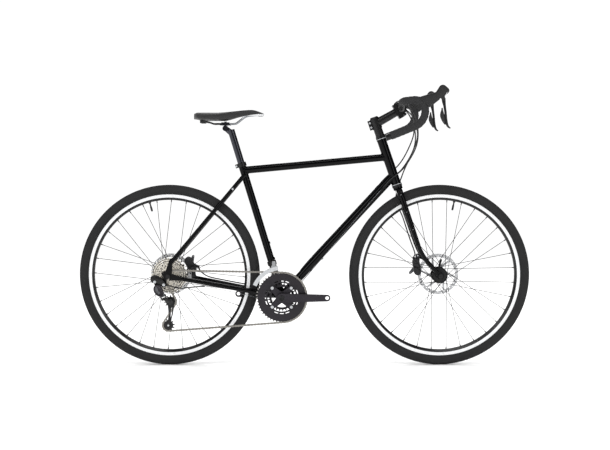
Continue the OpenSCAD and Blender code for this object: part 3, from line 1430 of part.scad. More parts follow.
module frame_cables() {
    p = shift_stop;
    low = bb + [12, -8, guide_z];
    stop = beside_stay(stay_stop[0], stay_stop[1], stay_stop[2]);
    right_stop = [stop[0], -stop[1], stop[2]];
    color("silver") {
        rod(p, low, wire_r);
        mirror([0, 1, 0]) rod(p, low, wire_r);
        rod(bb + [-17, -8, guide_z], right_stop, wire_r);
    }
    color("black") {
        swept([
            right_stop, right_stop + [-46, -10, -3], right_stop + [-92, -20, -6], right_stop + [-128, -22, 2],
            [hanger[0] + 11, -drop_in - drop_t - 6, hanger[2] - 1]
        ], housing_r);
        swept([
            beside_dt(brake_join[0], brake_join[1], brake_join[2]), beside_dt(dt_len * 0.55, dt_side, dt_over),
            beside_dt(dt_len * 0.22, dt_side + 3, dt_over - 1), bb + [36, 25, 40], bb + [-12, 37, 35],
            beside_stay(0.3, 7, 16), beside_stay(0.6, 4, 13.4), beside_stay(0.75, 5, 15),
            rear_cal + [37.8, arm_y - 2, -28.2], rear_cal + [31.6, arm_y - 2, -15.6]
        ], housing_r);
    }
}

// Housings from the bar to the frame and down the fork, measured from the middle of the bar
shift_loop = [[19, -100, 20], [46, -74, -20], [64, -46, -84], [56, -32, -150], [12, -28, -225]];
rear_brake_loop = [[19, -110, 16], [42, -62, -30], [52, -6, -84], [40, 28, -136], [2, 30, -206]];
front_brake_loop = [[19, 109, 14], [58, 88, -30], [72, 66, -100], [50, 62, -170], [14, 62, -250]];
module bar_housings() {
    p = shift_stop;
    join = beside_dt(brake_join[0] + 0.8, brake_join[1], brake_join[2]);
    stop_end = [p + 50 * dt_dir - [0, 4, 0], p + 22 * dt_dir, p + 3 * dt_dir];
    color("black") {
        swept(concat([for (v = shift_loop) bar + v], stop_end), housing_r);
        mirror([0, 1, 0]) swept(concat([for (v = shift_loop) bar + v - [3, 0, 5]], stop_end), housing_r);
        swept(concat([for (v = rear_brake_loop) bar + v],
            [join + 44 * dt_dir + [0, 10, 0], join + 14 * dt_dir, join]), housing_r);
        swept(concat([for (v = front_brake_loop) bar + v], [
            blade_at(crown_top - 40) + [-16, 9, -5], blade_at(blade_s + 110) + [-15, 9, -4],
            blade_at(blade_s + 20) + [-17, 8, 0],
            front_cal + [-6, arm_y - 2, 54], front_cal + [-10, arm_y - 2, 39.5]
        ]), housing_r);
    }
}

head_tube();
top_tube();
down_tube();
seat_tube();
bottom_bracket();
rear_stays();
frame_fittings();
seat_clamp();
headset();
frame_cables();
rear_caliper();
rear_axle();
front_derailleur_body();
rear_derailleur_body();
seatpost();
saddle_clamp();
saddle_rails();
saddle();
fork();
headset_spacers();
stem();
handlebar();
bar_tape();
brake_hoods();
bar_housings();
front_caliper();
front_axle();
front_tyre();
front_tube();
front_rim();
front_spokes();
front_hub();
front_rotor();
rear_tyre();
rear_tube();
rear_rim();
rear_spokes();
rear_hub();
rear_rotor();
cassette();
right_crank();
left_crank();
chainrings();
chain();
front_derailleur_link();
front_derailleur_cage();
derailleur_outer_link();
derailleur_inner_link();
derailleur_knuckle();
derailleur_cage();
guide_pulley();
tension_pulley();
right_brake_lever();
left_brake_lever();
right_shift_paddle();
left_shift_paddle();
front_caliper_arm();
rear_caliper_arm();
front_quick_release();
rear_quick_release();
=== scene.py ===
"""A touring bicycle: finishes for its CAD nodes, and the soft, wound and fine pieces that stand for some of them."""
import json

import bmesh
import bpy
import numpy as np
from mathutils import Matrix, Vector
from mathutils.geometry import tessellate_polygon


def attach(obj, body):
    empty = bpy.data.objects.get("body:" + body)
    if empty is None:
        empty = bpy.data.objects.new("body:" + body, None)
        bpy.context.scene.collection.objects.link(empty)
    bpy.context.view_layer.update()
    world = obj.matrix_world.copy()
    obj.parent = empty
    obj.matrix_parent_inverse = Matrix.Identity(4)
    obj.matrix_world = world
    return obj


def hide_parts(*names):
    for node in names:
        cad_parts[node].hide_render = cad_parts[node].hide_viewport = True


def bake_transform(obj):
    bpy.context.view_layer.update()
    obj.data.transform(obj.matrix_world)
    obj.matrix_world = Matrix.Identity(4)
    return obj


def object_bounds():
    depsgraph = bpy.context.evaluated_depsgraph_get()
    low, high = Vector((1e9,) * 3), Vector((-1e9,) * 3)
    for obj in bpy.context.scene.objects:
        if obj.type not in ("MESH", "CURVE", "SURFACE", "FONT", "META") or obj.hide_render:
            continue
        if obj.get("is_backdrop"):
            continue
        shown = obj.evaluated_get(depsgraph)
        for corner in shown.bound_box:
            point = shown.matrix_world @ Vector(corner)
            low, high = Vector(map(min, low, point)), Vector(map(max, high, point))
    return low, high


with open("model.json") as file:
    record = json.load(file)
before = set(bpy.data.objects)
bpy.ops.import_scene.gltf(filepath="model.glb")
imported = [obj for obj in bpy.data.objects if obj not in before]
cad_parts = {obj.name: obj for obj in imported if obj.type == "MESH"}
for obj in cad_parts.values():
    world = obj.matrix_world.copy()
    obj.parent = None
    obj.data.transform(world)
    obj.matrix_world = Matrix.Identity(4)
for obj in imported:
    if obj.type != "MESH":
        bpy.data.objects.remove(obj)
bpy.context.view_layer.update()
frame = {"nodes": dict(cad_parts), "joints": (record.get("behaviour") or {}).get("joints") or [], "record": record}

# Places and sizes in millimetres, as the CAD has them

MM = 0.001
JOINT = {j["name"]: np.array(j["pos_m"]) / MM for j in frame["joints"] if "pos_m" in j}
REAR, FRONT, BB = JOINT["rear_wheel_spin"], JOINT["front_wheel_spin"], JOINT["crank_spin"]
GUIDE, TENSION = JOINT["guide_pulley_spin"], JOINT["tension_pulley_spin"]


def direction(degrees):
    """Unit vector in the plane of the frame, at that angle above the way forward."""
    a = np.radians(degrees)
    return np.array([np.cos(a), 0, np.sin(a)])


HEAD_ANGLE, SEAT_ANGLE = 71, 73
FORK_RAKE, STEM_LEN, STEM_RISE, STEM_AT = 43, 110, 10.6, 638
HEAD_UP, SEAT_UP = direction(180 - HEAD_ANGLE), direction(180 - SEAT_ANGLE)
STEER = FRONT - FORK_RAKE * direction(90 - HEAD_ANGLE)
BAR = STEER + STEM_AT * HEAD_UP + STEM_LEN * direction(90 - HEAD_ANGLE + STEM_RISE)
LEFT, UP = np.array([0.0, 1, 0]), np.array([0.0, 0, 1])

# Where the frame's tubes meet, along the steering axis and along the seat tube, and their radii
TOP_TUBE_HEAD, DOWN_TUBE_HEAD, TOP_TUBE_SEAT = STEER + 501 * HEAD_UP, STEER + 425 * HEAD_UP, BB + 513 * SEAT_UP
SLIM_R, DOWN_R, HEAD_R, SHELL_R, STAY_R = 14.3, 15.9, 18.2, 20, 9.9
# The left chain stay's middle line, and the chain's pitch
CHAIN_STAY = np.array([BB + 24 * LEFT, REAR + [46, 70.5, -8]])
PITCH = 12.7


def pitch_radius(teeth):
    """Radius of the circle that a sprocket's rollers lie on, a pitch apart."""
    return PITCH / (2 * np.sin(np.pi / teeth))


def mirrored(points):
    """The same points on the other side of the frame's middle plane."""
    return points * [1, -1, 1]


# Materials

# How soft the edge of a band is, in mm, and that of a fleck, as a share of the room between two
BAND_BLUR, FLECK_BLUR = 0.2, 0.06


def srgb(code):
    """An sRGB hex colour as the linear one that a shader takes."""
    c = np.array([int(code[i:i + 2], 16) for i in (1, 3, 5)]) / 255
    return (*np.where(c <= 0.04045, c / 12.92, ((c + 0.055) / 1.055) ** 2.4).tolist(), 1.0)


def add(tree, kind, inputs=(), **settings):
    """Adds a node of that kind with its settings; an input is a value or the output that feeds it."""
    made = tree.nodes.new("ShaderNode" + kind)
    for name, value in settings.items():
        setattr(made, name, value)
    for name, value in dict(inputs).items():
        if isinstance(value, bpy.types.NodeSocket):
            tree.links.new(value, made.inputs[name])
        else:
            made.inputs[name].default_value = value
    return made


def per_m(size):
    """Scale of a pattern whose cells are that many millimetres wide, on coordinates in metres."""
    return 1 / (size * MM)


def finish(name, dark, light, rough, patch, grain, depth, rings=None, centre=None, bands=(), flecks=None,
           **fixed):
    """A surface with soft patches of two colours and of two roughnesses, each patch mm wide, and a grain in relief.

    The grain is noise of that many mm, or rings round an axle where rings gives their spacing in mm.
    Each band is (radius, colour) about the centre: from that radius outwards, the colour takes over.
    Flecks are (mm between them, share of that, colour): round spots, one in each cell.
    """
    mat = bpy.data.materials.new(name)
    mat.use_nodes = True
    tree = mat.node_tree
    tree.nodes.clear()
    place = add(tree, "TexCoord").outputs["Object"]
    if centre is not None:
        place = add(tree, "Mapping", {"Vector": place, "Location": tuple(-MM * c for c in centre)}).outputs[0]
    patches = add(tree, "TexNoise", {"Vector": place, "Scale": per_m(patch), "Detail": 4.0})
    # The colour sockets of a Mix, 6 and 7, come after its number and vector sockets
    colour = add(tree, "Mix", {0: patches.outputs[0], 6: srgb(dark), 7: srgb(light)}, data_type="RGBA").outputs[2]
    marks = []
    if bands:
        flat = add(tree, "VectorMath", {0: place, 1: (1.0, 0.0, 1.0)}, operation="MULTIPLY").outputs[0]
        out = add(tree, "VectorMath", {0: flat}, operation="LENGTH").outputs["Value"]
    for radius, code in bands:
        ends = {"From Min": (radius - BAND_BLUR) * MM, "From Max": (radius + BAND_BLUR) * MM}
        marks.append((add(tree, "MapRange", {"Value": out, **ends}), code))
    if flecks:
        apart, share, code = flecks
        spot = add(tree, "TexVoronoi", {"Vector": place, "Scale": per_m(apart)}).outputs["Distance"]
        ends = {"From Min": share + FLECK_BLUR, "From Max": share}
        marks.append((add(tree, "MapRange", {"Value": spot, **ends}), code))
    for mark, code in marks:
        colour = add(tree, "Mix", {0: mark.outputs[0], 6: colour, 7: srgb(code)}, data_type="RGBA").outputs[2]
    shine = add(tree, "MapRange", {"Value": patches.outputs[0], "To Min": rough[0], "To Max": rough[1]})
    if rings is None:
        relief = add(tree, "TexNoise", {"Vector": place, "Scale": per_m(grain), "Detail": 2.0}).outputs[0]
    else:
        # A wave at scale 1 repeats every pi / 10
        relief = add(tree, "TexWave", {
            "Vector": place, "Scale": per_m(rings) * np.pi / 10, "Distortion": 0.4, "Detail": 1.0
        }, wave_type="RINGS", rings_direction="Y").outputs[1]
    bump = add(tree, "Bump", {"Height": relief, "Distance": depth * MM, "Strength": 1.0})
    shader = add(tree, "BsdfPrincipled", {
        "Base Color": colour, "Roughness": shine.outputs[0], "Normal": bump.outputs[0], **fixed})
    add(tree, "OutputMaterial", {"Surface": shader.outputs[0]})
    return mat


# Sprayed and baked enamel on steel: nearly black, a wet gloss over a slight orange peel
ENAMEL = finish("gloss_black_enamel", "#010102", "#030304", (0.1, 0.16), 90, 2.5, 0.008,
                **{"Specular IOR Level": 0.1, "Coat Weight": 0.1, "Coat Roughness": 0.05})
# Moulded tyre rubber: dull dark grey, a fine pebble from the mould, paler where it has dust
RUBBER = finish("moulded_tyre_rubber", "#1f1f20", "#292929", (0.8, 0.92), 60, 1.2, 0.12, **{"Specular IOR Level": 0.2})
# Butyl rubber of the inner tubes, and the brass valve's dark coat
BUTYL = finish("butyl_rubber", "#121213", "#1b1b1c", (0.5, 0.65), 30, 1, 0.03)
# Black oxide on drawn stainless spokes: dark, with a thin sheen along each
SPOKE_BLACK = finish("black_oxide_spoke_steel", "#060607", "#0c0c0d", (0.4, 0.5), 25, 0.5, 0.004,
                     **{"Specular IOR Level": 0.12})
# Stainless wire, drawn: bright and even
WIRE = finish("drawn_stainless_wire", "#77797c", "#8d8f92", (0.22, 0.34), 25, 0.5, 0.004, Metallic=1.0)
# Nickel-plated pressed steel: warm, slightly milky
NICKEL = finish("nickel_plated_steel", "#7d7a75", "#98958f", (0.26, 0.4), 14, 0.8, 0.006, Metallic=0.85)
# Black-anodised forged aluminium: satin, a trace of grey
ANODISED = finish("black_anodised_aluminium", "#0d0d0e", "#161617", (0.3, 0.42), 35, 0.6, 0.006,
                  Metallic=0.35)
# Satin black seat post, turned and anodised: it catches more light along its length
SATIN = finish("satin_black_aluminium", "#3c3d42", "#4a4b51", (0.16, 0.22), 35, 0.6, 0.004, Metallic=1.0)
# Dark grey anodised crank forgings: a faint violet tint and a soft sheen
CRANK_GREY = finish("dark_grey_anodised_forging", "#221f25", "#2d2a30", (0.3, 0.42), 40, 0.5, 0.006, Metallic=0.5)
# Bead-blasted grey aluminium of the derailleur's links and the brakes' arms
BLASTED = finish("blasted_grey_aluminium", "#4b4c4f", "#67686b", (0.32, 0.46), 9, 0.7, 0.02, Metallic=0.7)
# Glass-filled nylon: moulded, matt, a fine spark-eroded texture
NYLON = finish("moulded_black_nylon", "#111112", "#1b1b1c", (0.5, 0.62), 20, 0.5, 0.02)
# Polished aluminium round the hoods' caps: bright with soft patches
POLISHED = finish("polished_aluminium", "#b9bbbd", "#d5d6d7", (0.16, 0.28), 18, 0.6, 0.004, Metallic=1.0)
# Zinc-plated bolts and pressings: pale, slightly blue
ZINC = finish("zinc_plated_bolts", "#b4b7ba", "#cfd1d3", (0.24, 0.36), 8, 0.5, 0.006, Metallic=0.55)
# Silicone hood rubber: soft black, matt, pebbled
HOOD_RUBBER = finish("silicone_hood_rubber", "#121213", "#1b1b1c", (0.62, 0.75), 25, 0.9, 0.08)
# Cork-filled foam tape: dark grey, dry, with flecks
CORK_TAPE = finish("cork_foam_tape", "#171718", "#29292a", (0.8, 0.92), 5, 1.4, 0.12)
# Embossed vinyl cover: dark grey, a leather grain
VINYL = finish("embossed_vinyl_cover", "#141415", "#1c1c1d", (0.5, 0.62), 30, 1.6, 0.1,
               **{"Sheen Weight": 0.15})
# Injection-moulded shells under the saddle, black and pale
SHELL_DARK = finish("moulded_black_shell", "#101011", "#181819", (0.45, 0.55), 25, 0.8, 0.015)
SHELL_PALE = finish("moulded_pale_shell", "#c9cacb", "#d8d9da", (0.35, 0.45), 25, 0.8, 0.01)
# Extruded jacket of the control housings: black, slick
JACKET = finish("extruded_pvc_jacket", "#0c0c0d", "#131314", (0.28, 0.36), 30, 0.7, 0.006)
# Cast caliper bodies under a dark metallic paint
CAST = finish("painted_cast_aluminium", "#1d1d1f", "#2c2c2f", (0.35, 0.5), 12, 0.9, 0.03, Metallic=0.4)


# From this radius outwards the rim's wall is machined, and from the next its lip is black again: the rim's own black,
# and painted shade for the gap under the tyre
RIM_WALL, RIM_LIP_AND_SHADE = 302.8, 314.6


def wheel_finishes(name, at):
    """Rim and rotor of one wheel: turned about its axle, so their marks are rings round it."""
    # Anodised black extrusion with a machined pale wall, and a black lip band that is partly painted shade
    rim = finish(name + "_machined_rim", "#0f0f10", "#161617", (0.22, 0.34), 40, 0.5, 0.004,
                 rings=1.2, centre=at, bands=[(RIM_WALL, "#e4e5e6"), (RIM_LIP_AND_SHADE, "#1a1a1b")], Metallic=0.25)
    # Ground stainless disc: fine rings round it
    rotor = finish(name + "_ground_rotor_steel", "#b4b5b7", "#cdced0", (0.3, 0.42), 20, 0.5, 0.006,
                   rings=0.9, centre=at, Metallic=0.7)
    return rim, rotor


FRONT_RIM, FRONT_ROTOR = wheel_finishes("front", FRONT)
REAR_RIM, REAR_ROTOR = wheel_finishes("rear", REAR)
# Painted shade, with some oil: the gaps between the sprockets are darker from each one's tips to the next one's roots
COG_R = pitch_radius(np.array([11, 13, 15, 17, 20, 23, 26, 30, 34]))
COG_TIP, COG_ROOT = 1.6, 3.6
OIL_AND_SHADE_BANDS = [band for low, high in zip(COG_R, COG_R[1:])
             for band in ((low + COG_TIP, "#4a4744"), (high - COG_ROOT, "#eae5d9"))]
# Nickel-plated pressed sprockets: warm and pale, turned marks round the axle, painted shade in the gaps, and dark
# flecks of painted shade spread over the faces that stand for the holes through them
COGS = finish("stamped_nickel_sprockets", "#d6d1c6", "#e6e2d8", (0.34, 0.46), 12, 0.6, 0.008,
              rings=1.0, centre=REAR, bands=OIL_AND_SHADE_BANDS, flecks=(8, 0.3, "#1c1a19"), Metallic=0.25)
WORN_FROM = 94.5
# Dark anodised chainrings: turned marks round the axle, and bare worn teeth
RINGS = finish("anodised_chainrings", "#211f23", "#2c292e", (0.32, 0.44), 25, 0.6, 0.008,
               rings=1.2, centre=BB, bands=[(WORN_FROM, "#9a9894")], Metallic=0.5)

NODE_FINISHES = {
    ENAMEL: "head_tube top_tube down_tube seat_tube rear_stays frame_fittings fork bottom_bracket",
    SATIN: "seatpost saddle_clamp",
    ANODISED: "seat_clamp headset headset_spacers stem handlebar front_hub rear_hub "
              "front_axle rear_axle front_quick_release rear_quick_release rear_derailleur_body "
              "front_derailleur_body right_brake_lever left_brake_lever",
    ZINC: "front_derailleur_cage front_derailleur_link",
    CRANK_GREY: "right_crank left_crank",
    BLASTED: "derailleur_outer_link derailleur_inner_link front_caliper_arm rear_caliper_arm",
    NYLON: "guide_pulley tension_pulley right_shift_paddle left_shift_paddle derailleur_knuckle derailleur_cage",
    WIRE: "saddle_rails",
    SPOKE_BLACK: "front_spokes rear_spokes",
    CAST: "front_caliper rear_caliper",
    JACKET: "frame_cables bar_housings",
    RUBBER: "front_tyre rear_tyre",
    BUTYL: "front_tube rear_tube",
    HOOD_RUBBER: "brake_hoods",
    CORK_TAPE: "bar_tape",
    VINYL: "saddle",
    NICKEL: "chain",
    COGS: "cassette",
    RINGS: "chainrings",
    FRONT_RIM: "front_rim",
    REAR_RIM: "rear_rim",
    FRONT_ROTOR: "front_rotor",
    REAR_ROTOR: "rear_rotor",
}
for made, names in NODE_FINISHES.items():
    for name in names.split():
        frame["nodes"][name].data.materials.clear()
        frame["nodes"][name].data.materials.append(made)

# Meshes

# Points closer than this are one, in a node's shells and in a new piece
SAME_PLACE, MERGE_DIST = 0.01, 0.001


def read(items, key):
    """Three numbers for each of a mesh's items, such as its points' places."""
    values = np.empty(len(items) * 3, np.float32)
    items.foreach_get(key, values)
    return values.reshape(-1, 3)


def merge(mesh, dist):
    """Joins the points of a mesh that lie closer together than that, in mm."""
    whole = bmesh.new()
    whole.from_mesh(mesh)
    bmesh.ops.remove_doubles(whole, verts=whole.verts, dist=dist * MM)
    whole.to_mesh(mesh)
    whole.free()


def shown(name, data):
    """A new object in the scene."""
    made = bpy.data.objects.new(name, data)
    bpy.context.scene.collection.objects.link(made)
    return made


def islands(mesh):
    """Label of each triangle's loose shell, and each triangle's middle in mm: corners at one place share a label, and
    the labels spread over the triangles until they settle."""
    co = read(mesh.vertices, "co")
    place = np.unique(np.round(co / (SAME_PLACE * MM)).astype(int), axis=0, return_inverse=True)[1].ravel()
    corner = np.empty(len(mesh.loops), np.int32)
    mesh.loops.foreach_get("vertex_index", corner)
    tri = place[corner].reshape(-1, 3)
    label = np.arange(place.max() + 1)
    while True:
        low = label[tri].min(1)
        new = label.copy()
        np.minimum.at(new, tri.ravel(), np.repeat(low, 3))
        new = new[new]
        if (new == label).all():
            break
        label = new
    return label[tri[:, 0]], co[corner].reshape(-1, 3, 3).mean(1) / MM


def refinish(name, material, chosen):
    """Gives another finish to the shells of a CAD node that chosen picks by their size in mm and their middle."""
    mesh = frame["nodes"][name].data
    label, middle = islands(mesh)
    index = np.zeros(len(mesh.polygons), np.int32)
    for one in np.unique(label):
        own = middle[label == one]
        if chosen(np.ptp(own, axis=0), own.mean(0)):
            index[label == one] = 1
    mesh.materials.append(material)
    mesh.polygons.foreach_set("material_index", index)


# The bolts of a node are its shells that are smaller than that, and the bearing cups lie outside the shell's middle
BOLTS_BELOW = {"seat_clamp": 24, "saddle_clamp": 40, "stem": 34, "headset_spacers": 30, "front_caliper": 16,
               "rear_caliper": 16}
CUPS_FROM = 20
for name, limit in BOLTS_BELOW.items():
    refinish(name, ZINC, lambda size, middle: size.max() < limit)
refinish("bottom_bracket", ANODISED, lambda size, middle: abs(middle[1]) > CUPS_FROM)

# Shapes

# A forging's steps between two points and round its section, how full its corners are, and how its ends are closed:
# rings that are a share of the last section, out by a share of the end's reach, which is a share of the section
FORGED_STEPS, FORGED_SIDES, FULLNESS = 10, 32, 0.75
END_RINGS, END_REACH = ((0.8, 0.55), (0.4, 0.9), (0, 1)), 0.45


def unit(v):
    """The same directions, each of length 1."""
    return v / np.linalg.norm(v, axis=-1, keepdims=True)


def smooth(a, b, x):
    """0 below a, 1 above b, and an S-curve between."""
    t = np.clip((x - a) / (b - a), 0, 1)
    return t * t * (3 - 2 * t)


def between(a, b, c, d, x):
    """Rises from 0 to 1 between a and b, and falls back to 0 between c and d."""
    return smooth(a, b, x) * (1 - smooth(c, d, x))


def spline(points, k):
    """A curve through the points, with k steps between two of them: each stretch is a cubic whose slope at a point
    is half the way from the point before to the point after."""
    p = np.asarray(points, float)
    a, b, c, d = (p[np.clip(np.arange(len(p) - 1) + i, 0, len(p) - 1)][:, None] for i in (-1, 0, 1, 2))
    t = (np.arange(k) / k)[None, :, None]
    run = (2 * b + (c - a) * t + (2 * a - 5 * b + 4 * c - d) * t ** 2 + (3 * b - a - 3 * c + d) * t ** 3) / 2
    return np.vstack([run.reshape(-1, 3), p[-1:]])


def evenly(path, spacing):
    """The path again, with its points that far apart."""
    along = np.concatenate([[0], np.cumsum(np.linalg.norm(np.diff(path, axis=0), axis=1))])
    at = np.linspace(0, along[-1], max(2, int(along[-1] / spacing) + 1))
    return np.stack([np.interp(at, along, path[:, i]) for i in range(3)], 1), at


def carried(path, start):
    """Headings along a path, and two sides that turn as little as they can from one point to the next."""
    t = unit(np.gradient(path, axis=0))
    side, u = np.asarray(start, float), np.empty_like(t)
    for i, heading in enumerate(t):
        side = unit(side - (side @ heading) * heading)
        u[i] = side
    return t, u, np.cross(t, u)


def around(u, v, sides):
    """Directions round a circle in the plane of each pair of sides: the cosine of one and the sine of the other."""
    a = np.linspace(0, 2 * np.pi, sides, endpoint=False)[:, None]
    return np.cos(a) * u[..., None, :] + np.sin(a) * v[..., None, :]


def tube(path, radius, sides, start=UP):
    """A round section carried along a path, drawn in to a point at both ends. The radius may differ along it."""
    t, u, v = carried(path, start)
    r = np.broadcast_to(np.asarray(radius, float), len(path))[:, None, None]
    wall = path[:, None] + r * around(u, v, sides)
    ends = [np.repeat(path[i][None, None], sides, 1) for i in (0, -1)]
    return np.concatenate([ends[0], wall, ends[1]])


def turned(at, axis, profile, steps, closed=False):
    """A profile of (radius, place along an axis) points, turned about the line through a point. A closed profile's
    last point joins its first."""
    side = unit(np.cross(axis, UP if abs(axis[1]) > 0.9 else LEFT))
    r, h = (np.asarray(profile, float)[:, i, None, None] for i in (0, 1))
    return at + h * axis + r * around(side, np.cross(axis, side), steps), closed, True


def skin(points, rows_close=False, columns_close=True):
    """Corner numbers of the quads over a grid of points, facing outwards where the grid is closed."""
    rows, columns = points.shape[:2]
    i, j = np.meshgrid(np.arange(rows - (not rows_close)), np.arange(columns - (not columns_close)), indexing="ij")
    k, m = (i + 1) % rows, (j + 1) % columns
    quads = np.stack([i * columns + j, k * columns + j, k * columns + m, i * columns + m], -1).reshape(-1, 4)
    a, b, c, d = (points.reshape(-1, 3)[quads[:, n]] for n in range(4))
    inside_out = np.einsum("ij,ij->", a, np.cross(b - a, c - a)) + np.einsum("ij,ij->", a, np.cross(c - a, d - a)) < 0
    return quads[:, ::-1] if inside_out else quads


def ribbon(centre, half, k=6, round_steps=7):
    """Outline of a flat band in X and Z: a smooth curve through the centres, half its width to either side of it, and
    half circles round both ends."""
    line = spline(np.insert(np.asarray(centre, float), 1, 0, axis=1), k)[:, [0, 2]]
    wide = spline(np.stack([half, np.zeros(len(half)), np.zeros(len(half))], 1), k)[:, :1]
    t = unit(np.gradient(line, axis=0))
    side = np.stack([-t[:, 1], t[:, 0]], 1)
    a = np.linspace(0, np.pi, round_steps + 2)[1:-1, None]
    caps = [line[i] + wide[i] * (np.cos(a) * way * side[i] + np.sin(a) * -way * t[i]) for i, way in ((0, 1), (-1, -1))]
    return np.concatenate([line - wide * side, caps[1], (line + wide * side)[::-1], caps[0]])


def punched(loops, y0, y1):
    """A flat plate between two planes across Y: the first loop of (x, z) points is its outline and the others are
    holes. Both faces are filled with triangles, and a wall follows each loop."""
    turn = [np.sum(w[:, 0] * np.roll(w[:, 1], -1) - w[:, 1] * np.roll(w[:, 0], -1)) > 0 for w in loops]
    loops = [w if way == (i == 0) else w[::-1] for i, (w, way) in enumerate(zip(loops, turn))]
    flat = np.concatenate(loops)
    tri = np.array(tessellate_polygon([[Vector((x, z, 0)) for x, z in w] for w in loops]))
    a, b, c = (flat[tri[:, i]] for i in range(3))
    over = (b - a)[:, 0] * (c - a)[:, 1] - (b - a)[:, 1] * (c - a)[:, 0] < 0
    tri[over] = tri[over][:, ::-1]
    n, starts = len(flat), np.cumsum([0] + [len(w) for w in loops])
    i = np.arange(n)
    j = np.concatenate([np.roll(np.arange(s, e), -1) for s, e in zip(starts, starts[1:])])
    points = np.concatenate([np.insert(flat, 1, y, axis=1) for y in (y0, y1)])
    return points, [tri, tri[:, ::-1] + n, np.stack([i, i + n, j + n, j], 1)]


def forged(path, across, sizes):
    """A rounded section carried along a smooth curve: half its width across and half its depth are given at each point
    of the curve, its corners are fuller than an ellipse's, and two smaller rings and a point round off each end."""
    line, size = (spline(p, FORGED_STEPS) for p in (path, np.pad(np.asarray(sizes, float), ((0, 0), (0, 1)))))
    t, u, v = carried(line, across)
    a = np.linspace(0, 2 * np.pi, FORGED_SIDES, endpoint=False)
    full = lambda x: (np.sign(x) * np.abs(x) ** FULLNESS)[None, :, None]
    wall = line[:, None] + size[:, 0, None, None] * full(np.cos(a)) * u[:, None] + (
        size[:, 1, None, None] * full(np.sin(a)) * v[:, None])
    ends = []
    for i, way in ((0, -1), (-1, 1)):
        far, ring = size[i].max() * END_REACH, wall[i] - line[i]
        ends.append(np.stack([line[i] + share * ring + way * out * far * t[i] for share, out in END_RINGS])[::way])
    return np.concatenate([ends[0], wall, ends[1]])


def broken_edges(made, width, segments):
    """Rounds the sharp edges of a piece by that many mm."""
    edge = made.modifiers.new("rounded_edges", "BEVEL")
    edge.width, edge.segments, edge.limit_method = width * MM, segments, "ANGLE"


def piece(name, grids, materials, body=None, replaces=(), sharp=40, paint=None):
    """One object from grids of points in mm, each with or without (rows_close, columns_close), and from plates with
    their faces. Points at one place are merged. paint gives each quad its material's number from the quads' middles."""
    grids = [g if isinstance(g, tuple) else (g,) for g in grids]
    faces, base = [], 0
    for points, *how in grids:
        for own in how[0] if points.ndim == 2 else [skin(points - points.reshape(-1, 3).mean(0), *how)]:
            faces += (own + base).tolist()
        base += points.size // 3
    verts = np.concatenate([g[0].reshape(-1, 3) for g in grids]) * MM
    mesh = bpy.data.meshes.new(name)
    mesh.from_pydata(verts.tolist(), [], faces)
    for made in materials:
        mesh.materials.append(made)
    if paint is not None:
        mesh.polygons.foreach_set("material_index", paint(verts[np.array(faces)].mean(1) / MM).astype(np.int32))
    merge(mesh, MERGE_DIST)
    mesh.shade_smooth()
    mesh.set_sharp_from_angle(angle=np.radians(sharp))
    made = shown(name, mesh)
    if body:
        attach(made, body)
    if replaces:
        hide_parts(*replaces)
    return made


# Camera, in metres

CAMERA_AT, CAMERA_TO = Vector((0.002, -4.9, 0.797)), Vector((0.002, 0.0, 0.547))
PHOTO_WIDTH_M = 2.38
camera = shown("camera", bpy.data.cameras.new("camera"))
camera.location = CAMERA_AT
camera.rotation_euler = (CAMERA_TO - CAMERA_AT).to_track_quat("-Z", "Y").to_euler()
camera.data.lens = camera.data.sensor_width * (CAMERA_TO - CAMERA_AT).length / PHOTO_WIDTH_M
bpy.context.scene.camera = camera

# Control housings and wires: their routes repeat the CAD's points

HOUSING_R, WIRE_R, STOP_OUT = 2.5, 0.8, 3.6
DT_LEN = np.linalg.norm(DOWN_TUBE_HEAD - BB)
DT_DIR = (DOWN_TUBE_HEAD - BB) / DT_LEN
DT_UP = np.array([-DT_DIR[2], 0, DT_DIR[0]])
DT_SIDE, DT_OVER = (share * (DOWN_R + HOUSING_R + 0.8) for share in (0.52, 0.854))
FRONT_CALIPER, REAR_CALIPER, ARM_Y = FRONT + [-84, 38, 28], REAR + [76, 52, 36], 24
HANGER, DROPOUT_OUT, GUIDE_Z = REAR + [-15, 0, -31], 73.5, -22
CROWN, CROWN_IN, BLADE_S, BLADE_Y, BLADE_SPREAD = 376, 12, 143.3, 36, 17
PATH_STEP, HOUSING_SIDES, WIRE_SIDES, FERRULE_R, FERRULE_LEN, FERRULE_SIDES = 4, 14, 10, 3.1, 9, 20


def beside_tube(s, lateral, up):
    """A place s mm up the down tube from the bottom bracket, to the left of its axis and above it."""
    return BB + s * DT_DIR + lateral * LEFT + up * DT_UP


def beside_stay(f, lateral, up):
    """A place at that share of the left chain stay, to the left of its axis and above it."""
    return CHAIN_STAY[0] + f * (CHAIN_STAY[1] - CHAIN_STAY[0]) + lateral * LEFT + up * UP


def beside_blade(s, *off):
    """A place beside the left fork blade, s mm up the steering axis from the axle."""
    spread = (CROWN - CROWN_IN - s) / (CROWN - CROWN_IN - BLADE_S)
    return STEER + s * HEAD_UP + (BLADE_Y + BLADE_SPREAD * spread) * LEFT + np.array(off)


